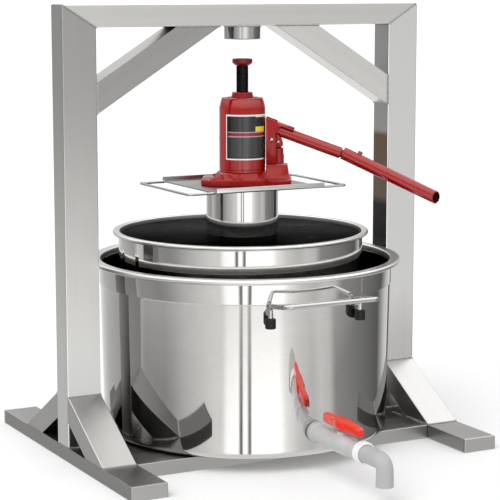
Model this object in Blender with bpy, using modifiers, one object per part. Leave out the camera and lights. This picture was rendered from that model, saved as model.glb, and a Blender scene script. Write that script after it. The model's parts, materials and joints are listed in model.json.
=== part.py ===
"""Hydraulic fruit press: a welded portal frame, a juice pot with a straining pot inside it,
a press plate on a column, and a bottle jack that stands on a tray under the frame's head ring.

The origin lies on the floor, under the jack's axis. X runs along the head beam, -Y points to the
tap, and Z is up.
"""
import math

import bmesh
import bpy
from mathutils import Matrix, Vector

MM = 0.001

# Clearances
SEAT_GAP = 0.3 * MM
SLIDE_GAP = 0.5 * MM
OVERRUN = 5.0 * MM
MERGE_DISTANCE = 0.00001

# Portal frame
POST_TO_RIM = 9.0 * MM
SADDLE_HEADROOM = 45.4 * MM
TUBE_FACE = 48.0 * MM
TUBE_DEPTH = 38.0 * MM
BEAM_HEIGHT = 30.0 * MM
TUBE_WALL = 1.5 * MM
TUBE_EDGE = 1.2 * MM
BRACE_TO_HEAD_RING = 18.0 * MM
UPPER_BRACE_THICKNESS = 35.0 * MM
UPPER_BRACE_ANGLE = math.radians(31.9)

# Feet and lower braces
FOOT_LENGTH = 455.0 * MM
FOOT_WIDTH = 50.0 * MM
FOOT_HEIGHT = 19.0 * MM
FOOT_CAP = 2.0 * MM
LOWER_BRACE_REACH = 116.5 * MM
LOWER_BRACE_THICKNESS = 30.0 * MM
LOWER_BRACE_ANGLE = math.radians(30.8)

# Base plate with turned-down flanges, and the tube that carries it under the pot
PLATE_DEPTH = 270.0 * MM
PLATE_SHEET = 3.0 * MM
PLATE_FLANGE_LIFT = 0.4 * MM
PLATE_EDGE = 0.8 * MM
CROSS_MEMBER_WIDTH = 60.0 * MM

# Head ring under the beam
HEAD_RING_RADIUS = 25.0 * MM
HEAD_RING_BORE = 19.0 * MM
HEAD_RING_HEIGHT = 18.4 * MM
HEAD_RING_EDGE = 1.2 * MM

# Juice pot
POT_SHIFT = 8.0 * MM
POT_HEIGHT = 240.7 * MM
POT_WALL = 1.5 * MM
POT_FOOT_RADIUS = 197.5 * MM
POT_TAPER = 4.0 * MM
POT_STEP = 1.1 * MM
POT_BAND = 33.7 * MM
POT_BAND_RAMP = 2.0 * MM
POT_CORNER = 10.0 * MM
POT_RIM_REACH = 12.9 * MM
POT_RIM_CURL = 60.0
POT_RIM_DEPTH = 8.6 * MM

# Straining pot
STRAINER_SHIFT = 6.0 * MM
STRAINER_TOP = 295.5 * MM
STRAINER_WALL = 1.5 * MM
JUICE_ROOM = 27.5 * MM
STRAINER_CORNER = 8.0 * MM
STRAINER_RIM_REACH = 8.0 * MM
STRAINER_RIM_DEPTH = 6.4 * MM
DRAIN_RADIUS = 4.0 * MM
DRAIN_ROW_HEIGHT = 22.0 * MM
DRAIN_ROW_PITCH = 26.0 * MM
DRAINS_IN_ROW = 24
DRAIN_ROWS = 2

# Pot handles
HANDLE_ROD_RADIUS = 3.3 * MM
HANDLE_HALF_SPAN = 67.0 * MM
HANDLE_BELOW_RIM = 61.7 * MM
HANDLE_RISE = 27.0 * MM
HANDLE_STUB_RADIUS = 3.0 * MM
HANDLE_STAND_OFF = 8.0 * MM
HANDLE_PROJECTION = 54.0 * MM
HANDLE_TILT = 5.7 * MM
HANDLE_BEND = 7.0 * MM
HANDLE_STUB_HEIGHT = 17.0 * MM
HANDLE_CAP_RADIUS = 7.0 * MM
HANDLE_CAP_HEIGHT = 13.5 * MM
HANDLE_CAP_END = 2.0 * MM

# Tap: everything lies along -Y from the pot's wall
TAP_HEIGHT = 53.0 * MM
TAP_BORE = 7.0 * MM
TAP_EDGE = 1.5 * MM
TAP_SHANK_RADIUS = 9.5 * MM
TAP_FLANGE_RADIUS = 14.0 * MM
TAP_FLANGE = 4.5 * MM
TAP_SEAL = 2.0 * MM
TAP_NUT_RADIUS = 15.0 * MM
TAP_NUT = 7.0 * MM
TAP_SHANK_INSIDE = 11.0 * MM
TAP_NECK_RADIUS = 11.6 * MM
TAP_NECK = 41.5 * MM
TAP_BARREL_RADIUS = 13.5 * MM
TAP_BARREL = 45.0 * MM
TAP_TAPER = 9.0 * MM
TAP_OUTLET_RADIUS = 11.5 * MM
TAP_OUTLET = 34.0 * MM
TAP_COLLAR_RADIUS = 14.5 * MM
TAP_COLLAR = 12.0 * MM
TAP_BALL_RADIUS = 10.0 * MM
TAP_STEM_RADIUS = 4.0 * MM
TAP_BOSS_RADIUS = 8.0 * MM
TAP_BOSS = 3.5 * MM
SPOUT_RADIUS = 11.3 * MM
SPOUT_BORE = 8.3 * MM
SPOUT_RUN = 43.5 * MM
SPOUT_DROP = 31.0 * MM
SPOUT_BEND = 13.0 * MM
LEVER_HALF_LENGTH = 45.0 * MM
LEVER_HUB_HALF = 10.0 * MM
LEVER_TIP_HALF = 5.5 * MM
LEVER_HEIGHT = 16.0 * MM
LEVER_TIP_HEIGHT = 9.0 * MM
LEVER_EDGE = 1.5 * MM

# Press plate, column and tray
PRESS_PLATE_GAP = 0.7 * MM
PRESS_PLATE_THICKNESS = 6.0 * MM
PRESS_PLATE_EDGE = 1.5 * MM
PRESS_PLATE_TOP = 290.0 * MM
COLUMN_RADIUS = 50.0 * MM
COLUMN_WALL = 2.5 * MM
TRAY_BOTTOM = 357.5 * MM
TRAY_WIDTH = 165.0 * MM
TRAY_DEPTH = 170.0 * MM
TRAY_SHEET = 2.0 * MM
TRAY_FLANGE = 7.5 * MM
TRAY_EDGE = 0.5 * MM
LOOP_WIRE_RADIUS = 2.0 * MM
LOOP_REACH = 38.5 * MM
LOOP_INSET = 7.0 * MM
LOOP_BEND = 6.0 * MM

# Jack: sizes are measured from the jack's own foot, X' points along the handle
JACK_HEADING = math.radians(-30.0)
BASE_FLANGE = 8.0 * MM
BASE_BACK = 56.0 * MM
BASE_FRONT = 68.0 * MM
BASE_HALF_WIDTH = 40.0 * MM
BASE_CORNER = 14.0 * MM
BASE_EDGE = 1.6 * MM
BASE_BOSS_RADIUS = 36.5 * MM
BASE_BOSS_HEIGHT = 17.0 * MM
BASE_BOSS_EDGE = 2.5 * MM
BASE_RIB = 5.0 * MM
BASE_RIB_REACH = 56.0 * MM
# The ribs' directions as shares of a half turn, and their lengths as shares of BASE_RIB_REACH
RIB_ANGLE_SHARES = (-0.27, 0.27, -0.5, 0.5, -0.78, 0.78)
RIB_REACH_SHARES = (0.98, 0.98, 0.68, 0.68, 0.98, 0.98)
PUMP_BLOCK_HEIGHT = 27.5 * MM
PUMP_BLOCK_HALF_WIDTH = 15.5 * MM
PUMP_BLOCK_FRONT = 64.0 * MM
TANK_RADIUS = 32.0 * MM
TANK_WALL = 2.5 * MM
TANK_HEIGHT = 93.0 * MM
TANK_FOOT_RING = 1.0 * MM
TANK_SHOULDER = 9.0 * MM
TANK_SHOULDER_TURN = 60.0
TANK_NECK_RADIUS = 21.0 * MM
CYLINDER_RADIUS = 17.0 * MM
TOP_NUT_RADIUS = 15.4 * MM
TOP_NUT_HEIGHT = 7.0 * MM
RAM_RADIUS = 12.0 * MM
RAM_BORE_DEPTH = 96.0 * MM
SCREW_RADIUS = 8.7 * MM
SCREW_SHOWING = 36.4 * MM
SCREW_INSIDE = 58.0 * MM
SADDLE_RADIUS = 14.0 * MM
SADDLE_WAIST = 10.5 * MM
SADDLE_HEIGHT = 9.0 * MM
SADDLE_DISH = 1.5 * MM
FILLER_HEADING = math.radians(150.0)
FILLER_RADIUS = 5.0 * MM
FILLER_HEIGHT = 62.0 * MM
FILLER_HEAD = 3.0 * MM
VALVE_RADIUS = 5.5 * MM
VALVE_SHANK_RADIUS = 3.5 * MM
VALVE_HEAD = 9.0 * MM
VALVE_SHANK = 8.0 * MM
VALVE_HEIGHT = 17.0 * MM
VALVE_PLACE = 52.0 * MM
VALVE_SLOT = 2.0 * MM

# Pump, rocker and handle of the jack
PUMP_PLACE = 49.5 * MM
PUMP_FOOT_RADIUS = 8.2 * MM
PUMP_FOOT_HEIGHT = 13.0 * MM
PUMP_NECK_RADIUS = 7.5 * MM
PUMP_NECK_HEIGHT = 9.0 * MM
PLUNGER_RADIUS = 4.5 * MM
PLUNGER_INSIDE = 12.0 * MM
PLUNGER_EYE_RADIUS = 4.6 * MM
PUMP_PIN_RADIUS = 2.2 * MM
PUMP_PIN_HEAD = 1.2 * MM
PUMP_SLOT_GAP = 0.6 * MM
PIVOT_PLACE = 40.5 * MM
PIVOT_HEIGHT = 61.5 * MM
PIVOT_RADIUS = 2.8 * MM
EAR_RADIUS = 7.0 * MM
EAR_THICKNESS = 3.0 * MM
EAR_TOP = 92.5 * MM
EAR_TOP_REACH = 16.0 * MM
BRACKET_BACK = 33.0 * MM
BRACKET_WEB = 2.4 * MM
BRACKET_WEB_HEIGHT = 23.0 * MM
CHEEK_THICKNESS = 4.2 * MM
CHEEK_RADIUS = 6.0 * MM
CHEEK_NOSE = 8.5 * MM
ROCKER_ANGLE = math.radians(20.0)
SOCKET_OFFSET = 14.8 * MM
SOCKET_RADIUS = 11.3 * MM
SOCKET_BORE = 8.1 * MM
SOCKET_START = -1.0 * MM
SOCKET_FLOOR = 1.8 * MM
SOCKET_END = 24.6 * MM
HOOD_EDGE = 22.0 * MM
LOWER_TUBE_RADIUS = 7.8 * MM
LOWER_TUBE_END = 111.6 * MM
SPIGOT_RADIUS = 5.4 * MM
SPIGOT_LENGTH = 26.0 * MM
SPIGOT_SHOULDER = 1.4 * MM
UPPER_TUBE_RADIUS = 8.7 * MM
UPPER_TUBE_BORE = 7.2 * MM
UPPER_TUBE_LENGTH = 137.0 * MM
UPPER_TUBE_ANGLE = math.radians(25.4)
LOCK_SCREW_RADIUS = 3.2 * MM
LOCK_SCREW_HEIGHT = 3.6 * MM
LOCK_SCREW_PLACE = 9.0 * MM

# Facets round a full turn
POT_STEPS = 56
ROUND_STEPS = 32
SMALL_STEPS = 20
DRAIN_STEPS = 6
ROD_RESOLUTION = 3
SMOOTH_ANGLE = math.radians(35.0)

# Sizes, heights and places that follow from the sizes above
POT_BAND_HEIGHT = POT_HEIGHT - POT_BAND
POT_WALL_RADIUS = POT_FOOT_RADIUS + POT_TAPER
POT_BAND_RADIUS = POT_WALL_RADIUS + POT_STEP
POT_RIM_RADIUS = POT_BAND_RADIUS + POT_RIM_REACH
STRAINER_RADIUS = POT_FOOT_RADIUS - JUICE_ROOM
STRAINER_RIM_RADIUS = STRAINER_RADIUS + STRAINER_RIM_REACH
LOOP_HALF_SPAN = TRAY_DEPTH / 2 - LOOP_INSET
POST_INNER = POT_RIM_RADIUS + POST_TO_RIM
FRAME_WIDTH = 2 * (POST_INNER + TUBE_FACE)
UPPER_BRACE_REACH = POST_INNER - HEAD_RING_RADIUS - BRACE_TO_HEAD_RING
FOOT_CENTRE = (FRAME_WIDTH - TUBE_FACE) / 2
FOOT_INNER = FOOT_CENTRE - FOOT_WIDTH / 2
PLATE_TOP = FOOT_HEIGHT
PRESS_PLATE_RADIUS = STRAINER_RADIUS - STRAINER_WALL - PRESS_PLATE_GAP
POT_BASE = PLATE_TOP + SEAT_GAP
STRAINER_BASE = POT_BASE + POT_WALL + SEAT_GAP
TRAY_TOP = TRAY_BOTTOM + TRAY_SHEET
JACK_FOOT = TRAY_TOP + SEAT_GAP
TANK_FOOT = BASE_BOSS_HEIGHT + SEAT_GAP
NUT_FOOT = TANK_FOOT + TANK_HEIGHT + TANK_SHOULDER + SEAT_GAP
NUT_TOP = NUT_FOOT + TOP_NUT_HEIGHT
SADDLE_FOOT = NUT_TOP + SCREW_SHOWING + SEAT_GAP
BEAM_BOTTOM = JACK_FOOT + SADDLE_FOOT + SADDLE_HEIGHT + SADDLE_HEADROOM
FRAME_HEIGHT = BEAM_BOTTOM + BEAM_HEIGHT
PUMP_ARM = 2 * (PUMP_PLACE - PIVOT_PLACE) / (1 + math.cos(ROCKER_ANGLE))
PUMP_PIN_HEIGHT = PIVOT_HEIGHT - PUMP_ARM * math.sin(ROCKER_ANGLE)
CHEEK_OUTER = PLUNGER_RADIUS + SLIDE_GAP + CHEEK_THICKNESS
EAR_INNER = SOCKET_RADIUS + SLIDE_GAP
PUMP_TOP = PUMP_BLOCK_HEIGHT + SEAT_GAP + PUMP_FOOT_HEIGHT + PUMP_NECK_HEIGHT


def clear_scene():
    """Start from an empty file, so that the script can be run again."""
    for old in list(bpy.data.objects):
        bpy.data.objects.remove(old, do_unlink=True)
    for old in list(bpy.data.collections):
        bpy.data.collections.remove(old)


def make_collection(name):
    collection = bpy.data.collections.new(name)
    bpy.context.scene.collection.children.link(collection)
    return collection


def make_finish(name, colour, roughness, metallic):
    finish = bpy.data.materials.new(name)
    finish.use_nodes = True
    shader = finish.node_tree.nodes["Principled BSDF"]
    shader.inputs["Base Color"].default_value = (*colour, 1.0)
    shader.inputs["Roughness"].default_value = roughness
    shader.inputs["Metallic"].default_value = metallic
    return finish


clear_scene()
PARTS = make_collection("hydraulic_fruit_press")
CUTTERS = make_collection("cutters")

SATIN_STEEL = make_finish("satin_steel", (0.62, 0.62, 0.61), 0.35, 1.0)
POLISHED_STEEL = make_finish("polished_steel", (0.70, 0.70, 0.69), 0.12, 1.0)
CHROME = make_finish("chrome", (0.78, 0.78, 0.79), 0.08, 1.0)
RED_ENAMEL = make_finish("red_enamel", (0.62, 0.02, 0.02), 0.22, 0.0)
BLACK_STEEL = make_finish("blackened_steel", (0.03, 0.03, 0.03), 0.35, 0.8)
BLACK_RUBBER = make_finish("black_rubber", (0.015, 0.015, 0.015), 0.6, 0.0)
WHITE_PLASTIC = make_finish("white_plastic", (0.74, 0.74, 0.73), 0.35, 0.0)
ORANGE_PLASTIC = make_finish("orange_plastic", (0.85, 0.06, 0.02), 0.3, 0.0)


def add_part(name, mesh, finish, place=(0.0, 0.0, 0.0), parent=None):
    """Put a mesh in the object's collection as one named sub-part."""
    part = bpy.data.objects.new(name, mesh)
    PARTS.objects.link(part)
    part.location = place
    part.parent = parent
    mesh.materials.append(finish)
    return part


def add_cutter(name, mesh, place=(0.0, 0.0, 0.0), parent=None):
    """Put a mesh among the cutters, which aren't part of the object."""
    cutter = bpy.data.objects.new(name, mesh)
    CUTTERS.objects.link(cutter)
    cutter.location = place
    cutter.parent = parent
    cutter.hide_render = True
    cutter.display_type = "WIRE"
    return cutter


def smooth(mesh):
    mesh.shade_smooth()
    mesh.set_sharp_from_angle(angle=SMOOTH_ANGLE)
    return mesh


def box_mesh(name, low, high):
    """A box between two corners."""
    low, high = Vector(low), Vector(high)
    build = bmesh.new()
    bmesh.ops.create_cube(build, size=1.0)
    bmesh.ops.scale(build, vec=high - low, verts=build.verts)
    bmesh.ops.translate(build, vec=(low + high) / 2, verts=build.verts)
    mesh = bpy.data.meshes.new(name)
    build.to_mesh(mesh)
    build.free()
    return mesh


def rod_mesh(name, start, end, radius, steps=SMALL_STEPS):
    """A straight round rod between two points."""
    start, end = Vector(start), Vector(end)
    build = bmesh.new()
    turn = (end - start).to_track_quat("Z", "Y").to_matrix().to_4x4()
    bmesh.ops.create_cone(build, cap_ends=True, segments=steps, radius1=radius, radius2=radius,
                          depth=(end - start).length, matrix=Matrix.Translation((start + end) / 2) @ turn)
    mesh = bpy.data.meshes.new(name)
    build.to_mesh(mesh)
    build.free()
    return smooth(mesh)


def evaluated_mesh(source):
    """Turn a curve or a modified object into a plain welded mesh, and remove the source."""
    bpy.context.view_layer.update()
    graph = bpy.context.evaluated_depsgraph_get()
    mesh = bpy.data.meshes.new_from_object(source.evaluated_get(graph))
    mesh.transform(source.matrix_world)
    build = bmesh.new()
    build.from_mesh(mesh)
    bmesh.ops.remove_doubles(build, verts=build.verts, dist=MERGE_DISTANCE)
    build.to_mesh(mesh)
    build.free()
    bpy.data.objects.remove(source, do_unlink=True)
    return mesh


def outline_mesh(name, outline, thickness, across="Z"):
    """A flat outline with a thickness, centred on the plane that the axis named by across is square to.

    The outline's two numbers run along X and Y for Z, along X and Z for Y, and along Y and Z for X.
    """
    curve = bpy.data.curves.new(name, "CURVE")
    curve.dimensions = "2D"
    curve.fill_mode = "BOTH"
    curve.extrude = thickness / 2
    spline = curve.splines.new("POLY")
    spline.points.add(len(outline) - 1)
    for point, (first, second) in zip(spline.points, outline):
        point.co = (first, second, 0.0, 1.0)
    spline.use_cyclic_u = True
    holder = bpy.data.objects.new(name, curve)
    CUTTERS.objects.link(holder)
    mesh = evaluated_mesh(holder)
    quarter = math.pi / 2
    if across == "Y":
        mesh.transform(Matrix.Rotation(quarter, 4, "X"))
    if across == "X":
        mesh.transform(Matrix.Rotation(quarter, 4, "Z") @ Matrix.Rotation(quarter, 4, "X"))
    return mesh


def pipe_mesh(name, points, radius, resolution=ROD_RESOLUTION):
    """A round rod along a row of points, with closed ends."""
    curve = bpy.data.curves.new(name, "CURVE")
    curve.dimensions = "3D"
    curve.bevel_depth = radius
    curve.bevel_resolution = resolution
    curve.use_fill_caps = True
    spline = curve.splines.new("POLY")
    spline.points.add(len(points) - 1)
    for point, where in zip(spline.points, points):
        point.co = (*where, 1.0)
    holder = bpy.data.objects.new(name, curve)
    CUTTERS.objects.link(holder)
    return smooth(evaluated_mesh(holder))


def rounded_path(corners, radius, steps=5):
    """Points along straight runs whose corners are rounded by arcs."""
    corners = [Vector(corner) for corner in corners]
    points = [corners[0]]
    for before, corner, after in zip(corners, corners[1:], corners[2:]):
        back = (before - corner).normalized()
        on = (after - corner).normalized()
        half = back.angle(on) / 2
        reach = radius / math.tan(half)
        centre = corner + (back + on).normalized() * radius / math.sin(half)
        start = corner + back * reach - centre
        end = corner + on * reach - centre
        sweep = start.angle(end)
        axis = start.cross(end).normalized()
        for step in range(steps + 1):
            points.append(centre + Matrix.Rotation(sweep * step / steps, 3, axis) @ start)
    points.append(corners[-1])
    return points


def arc(centre, radius, start, end, steps=4):
    """Points on an arc in a profile, from one angle in degrees to another."""
    points = []
    for step in range(steps + 1):
        angle = math.radians(start + (end - start) * step / steps)
        points.append((centre[0] + radius * math.cos(angle), centre[1] + radius * math.sin(angle)))
    return points


def turned(name, profile, finish, steps=ROUND_STEPS, place=(0.0, 0.0, 0.0), parent=None, cutter=False,
           ring=False):
    """A turned piece: a profile of radii and heights, swept round Z by a Screw modifier."""
    mesh = bpy.data.meshes.new(name)
    count = len(profile)
    edges = [(index, index + 1) for index in range(count - 1)]
    if ring:
        edges.append((count - 1, 0))
    mesh.from_pydata([(radius, 0.0, height) for radius, height in profile], edges, [])
    if cutter:
        part = add_cutter(name, mesh, place, parent)
    else:
        part = add_part(name, mesh, finish, place, parent)
    screw = part.modifiers.new("turn", "SCREW")
    screw.axis = "Z"
    screw.steps = steps
    screw.render_steps = steps
    screw.use_merge_vertices = True
    screw.merge_threshold = MERGE_DISTANCE
    screw.use_smooth_shade = True
    return part


def bevel(part, width, segments=2):
    modifier = part.modifiers.new("edges", "BEVEL")
    modifier.width = width
    modifier.segments = segments
    modifier.limit_method = "ANGLE"
    modifier.angle_limit = SMOOTH_ANGLE
    return part


def combine(part, other, operation):
    modifier = part.modifiers.new(operation.lower() + "_" + other.name, "BOOLEAN")
    modifier.operation = operation
    modifier.solver = "EXACT"
    modifier.object = other
    return part


def cut(part, cutter):
    return combine(part, cutter, "DIFFERENCE")


def join(part, other):
    return combine(part, other, "UNION")


def make_tube(name, outline, across, thickness, centre, axis, half_length, finish=SATIN_STEEL):
    """A rectangular tube whose ends follow an outline: an outline with a thickness, bored along the tube.

    axis is the tube's direction and centre a point on it; outline lies in the plane across.
    """
    tube = add_part(name, outline_mesh(name, outline, thickness, across), finish)
    bevel(tube, TUBE_EDGE)
    return bore_tube(tube, name, centre, axis, half_length, thickness, across)


def bore_tube(tube, name, centre, axis, half_length, thickness, across, height=None):
    """Bore a rectangular tube from end to end, leaving its wall."""
    axis = Vector(axis).normalized()
    side = {"X": Vector((1.0, 0.0, 0.0)), "Y": Vector((0.0, 1.0, 0.0)), "Z": Vector((0.0, 0.0, 1.0))}[across]
    upright = side.cross(axis)
    inner = (height if height is not None else TUBE_FACE) / 2 - TUBE_WALL
    inner_side = thickness / 2 - TUBE_WALL
    mesh = box_mesh(name + "_bore", (-half_length, -inner_side, -inner), (half_length, inner_side, inner))
    turn = Matrix((axis, side, upright)).transposed().to_4x4()
    mesh.transform(Matrix.Translation(centre) @ turn)
    if turn.determinant() < 0:
        mesh.flip_normals()
    return cut(tube, add_cutter(name + "_bore", mesh))


def make_frame():
    """Posts, head beam and upper braces: mitred rectangular tube in the plane of X and Z."""
    half = FRAME_WIDTH / 2
    post_foot = FOOT_HEIGHT + SEAT_GAP
    mitre_gap = SEAT_GAP / 2
    for side, word in ((-1, "left"), (1, "right")):
        post_outline = [(side * half, post_foot), (side * half, FRAME_HEIGHT - mitre_gap),
                        (side * POST_INNER, BEAM_BOTTOM - mitre_gap), (side * POST_INNER, post_foot)]
        make_tube(word + "_post", post_outline, "Y", TUBE_DEPTH, (side * FOOT_CENTRE, 0.0, FRAME_HEIGHT / 2),
                  (0.0, 0.0, 1.0), FRAME_HEIGHT)
        make_upper_brace(word + "_upper_brace", side)
    beam_outline = [(-half + mitre_gap, FRAME_HEIGHT), (-POST_INNER + mitre_gap, BEAM_BOTTOM),
                    (POST_INNER - mitre_gap, BEAM_BOTTOM), (half - mitre_gap, FRAME_HEIGHT)]
    beam = add_part("top_beam", outline_mesh("top_beam", beam_outline, TUBE_DEPTH, "Y"), SATIN_STEEL)
    bevel(beam, TUBE_EDGE)
    bore_tube(beam, "top_beam", (0.0, 0.0, BEAM_BOTTOM + BEAM_HEIGHT / 2), (1.0, 0.0, 0.0), FRAME_WIDTH,
              TUBE_DEPTH, "Y", BEAM_HEIGHT)


def make_upper_brace(name, side):
    """A slanted tube from the post to the beam; its ends are cut flat against them."""
    post_face = POST_INNER - SEAT_GAP
    beam_face = BEAM_BOTTOM - SEAT_GAP
    slope = math.tan(UPPER_BRACE_ANGLE)
    upper_reach = UPPER_BRACE_REACH - UPPER_BRACE_THICKNESS / math.sin(UPPER_BRACE_ANGLE)
    outline = [(side * post_face, beam_face - UPPER_BRACE_REACH * slope),
               (side * post_face, beam_face - upper_reach * slope),
               (side * (post_face - upper_reach), beam_face),
               (side * (post_face - UPPER_BRACE_REACH), beam_face)]
    middle = (UPPER_BRACE_REACH + upper_reach) / 2
    centre = (side * (post_face - middle / 2), 0.0, beam_face - middle * slope / 2)
    brace = add_part(name, outline_mesh(name, outline, TUBE_DEPTH, "Y"), SATIN_STEEL)
    bevel(brace, TUBE_EDGE)
    bore_tube(brace, name, centre, (-side, 0.0, slope), FRAME_WIDTH / 2, TUBE_DEPTH, "Y",
              UPPER_BRACE_THICKNESS)


def make_feet():
    """Foot tubes with their end caps, and the four braces from the posts down to them."""
    half_length = FOOT_LENGTH / 2
    tube_end = half_length - FOOT_CAP - SEAT_GAP
    for side, word in ((-1, "left"), (1, "right")):
        centre = side * FOOT_CENTRE
        low = (centre - FOOT_WIDTH / 2, -tube_end, 0.0)
        high = (centre + FOOT_WIDTH / 2, tube_end, FOOT_HEIGHT)
        foot = bevel(add_part(word + "_foot", box_mesh(word + "_foot", low, high), SATIN_STEEL), TUBE_EDGE)
        bore_tube(foot, word + "_foot", (centre, 0.0, FOOT_HEIGHT / 2), (0.0, 1.0, 0.0), FOOT_LENGTH,
                  FOOT_WIDTH, "X", FOOT_HEIGHT)
        for end, end_word in ((-1, "front"), (1, "rear")):
            name = word + "_" + end_word + "_foot_cap"
            inner, outer = sorted((end * (half_length - FOOT_CAP), end * half_length))
            cap = box_mesh(name, (low[0], inner, 0.0), (high[0], outer, FOOT_HEIGHT))
            bevel(add_part(name, cap, SATIN_STEEL), FOOT_CAP / 3)
            make_lower_brace(word + "_" + end_word + "_brace", centre, end)


def make_lower_brace(name, centre, end):
    """A slanted tube from the post's face down to the foot; its ends are cut flat against them."""
    post_face = TUBE_DEPTH / 2 + SEAT_GAP
    foot_face = FOOT_HEIGHT + SEAT_GAP
    slope = math.tan(LOWER_BRACE_ANGLE)
    inner_reach = LOWER_BRACE_REACH - LOWER_BRACE_THICKNESS / math.sin(LOWER_BRACE_ANGLE)
    outline = [(end * post_face, foot_face + LOWER_BRACE_REACH * slope),
               (end * post_face, foot_face + inner_reach * slope),
               (end * (post_face + inner_reach), foot_face),
               (end * (post_face + LOWER_BRACE_REACH), foot_face)]
    middle = (LOWER_BRACE_REACH + inner_reach) / 2
    mesh = outline_mesh(name, outline, TUBE_FACE, "X")
    mesh.transform(Matrix.Translation((centre, 0.0, 0.0)))
    brace = bevel(add_part(name, mesh, SATIN_STEEL), TUBE_EDGE)
    bore_tube(brace, name, (centre, end * (post_face + middle / 2), foot_face + middle * slope / 2),
              (0.0, -end, slope), FRAME_WIDTH / 2, TUBE_FACE, "X", LOWER_BRACE_THICKNESS)


def make_base():
    """The folded base plate between the feet, and the tube under its middle."""
    half = PLATE_DEPTH / 2
    under = PLATE_TOP - PLATE_SHEET
    outline = [(-half, PLATE_FLANGE_LIFT), (-half, PLATE_TOP), (half, PLATE_TOP), (half, PLATE_FLANGE_LIFT),
               (half - PLATE_SHEET, PLATE_FLANGE_LIFT), (half - PLATE_SHEET, under),
               (-half + PLATE_SHEET, under), (-half + PLATE_SHEET, PLATE_FLANGE_LIFT)]
    width = 2 * (FOOT_INNER - SEAT_GAP)
    plate = add_part("base_plate", outline_mesh("base_plate", outline, width, "X"), SATIN_STEEL)
    bevel(plate, PLATE_EDGE)
    top = under - SEAT_GAP
    half_width = CROSS_MEMBER_WIDTH / 2
    member = box_mesh("cross_member", (-width / 2, -half_width, 0.0), (width / 2, half_width, top))
    member = bevel(add_part("cross_member", member, SATIN_STEEL), TUBE_EDGE)
    bore_tube(member, "cross_member", (0.0, 0.0, top / 2), (1.0, 0.0, 0.0), FRAME_WIDTH,
              CROSS_MEMBER_WIDTH, "Y", top)


def make_head_ring():
    """The ring under the beam that keeps the saddle from walking off."""
    top = BEAM_BOTTOM - SEAT_GAP
    foot = top - HEAD_RING_HEIGHT
    profile = [(HEAD_RING_BORE, foot), (HEAD_RING_BORE, top), (HEAD_RING_RADIUS, top)]
    profile += [(HEAD_RING_RADIUS, foot + HEAD_RING_EDGE), (HEAD_RING_RADIUS - HEAD_RING_EDGE, foot)]
    turned("head_ring", profile, CHROME, ring=True)


def pot_profile(radii, height, wall, corner):
    """The profile of an open pot: up the inside, over the sheet's edge, and down the outside.

    radii holds the outer wall's radius and height pairs, from the foot upwards.
    """
    foot_radius = radii[0][0]
    top_radius = radii[-1][0]
    inside = [(0.0, wall)]
    inside += arc((foot_radius - corner, corner), corner - wall, -90, 0, 3)
    inside += [(radius - wall, level) for radius, level in radii[1:]]
    edge = [(top_radius - wall, height), (top_radius, height)]
    outside = [(radius, level) for radius, level in reversed(radii[1:])]
    outside += arc((foot_radius - corner, corner), corner, 0, -90, 3)
    outside.append((0.0, 0.0))
    return inside + edge + outside


def rim_profile(wall_radius, height, wall, rim_radius, rim_depth):
    """The profile of a rolled rim that sits on the pot's wall: sheet bent over and down, open below."""
    bead = rim_depth / 2
    foot = height - rim_depth
    lead_in = bead / 2
    profile = [(wall_radius - wall, foot), (wall_radius - wall, height - lead_in), (wall_radius, height)]
    profile += arc((rim_radius - bead, height - bead), bead, 90, -POT_RIM_CURL, 5)
    profile += arc((rim_radius - bead, height - bead), bead - wall, -POT_RIM_CURL, 90, 3)
    profile += [(wall_radius, height - wall), (wall_radius, foot)]
    return profile


def make_juice_pot():
    """The outer pot, with its wider upper band, its rolled rim and the hole for the tap."""
    place = (0.0, -POT_SHIFT, POT_BASE)
    radii = [(POT_FOOT_RADIUS, 0.0), (POT_WALL_RADIUS, POT_BAND_HEIGHT - POT_BAND_RAMP),
             (POT_BAND_RADIUS, POT_BAND_HEIGHT)]
    wall_top = POT_HEIGHT - POT_RIM_DEPTH - SEAT_GAP
    profile = pot_profile(radii, wall_top, POT_WALL, POT_CORNER)
    pot = turned("juice_pot", profile, POLISHED_STEEL, POT_STEPS, place)
    start = (0.0, -POT_SHIFT - POT_FOOT_RADIUS + TAP_SHANK_INSIDE, TAP_HEIGHT)
    end = (0.0, -POT_SHIFT - POT_WALL_RADIUS - OVERRUN, TAP_HEIGHT)
    hole = rod_mesh("tap_hole", start, end, TAP_SHANK_RADIUS + SEAT_GAP)
    cut(pot, add_cutter("tap_hole", hole))
    profile = rim_profile(POT_BAND_RADIUS, POT_HEIGHT, POT_WALL, POT_RIM_RADIUS, POT_RIM_DEPTH)
    turned("juice_pot_rim", profile, POLISHED_STEEL, POT_STEPS, place, ring=True)


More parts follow.
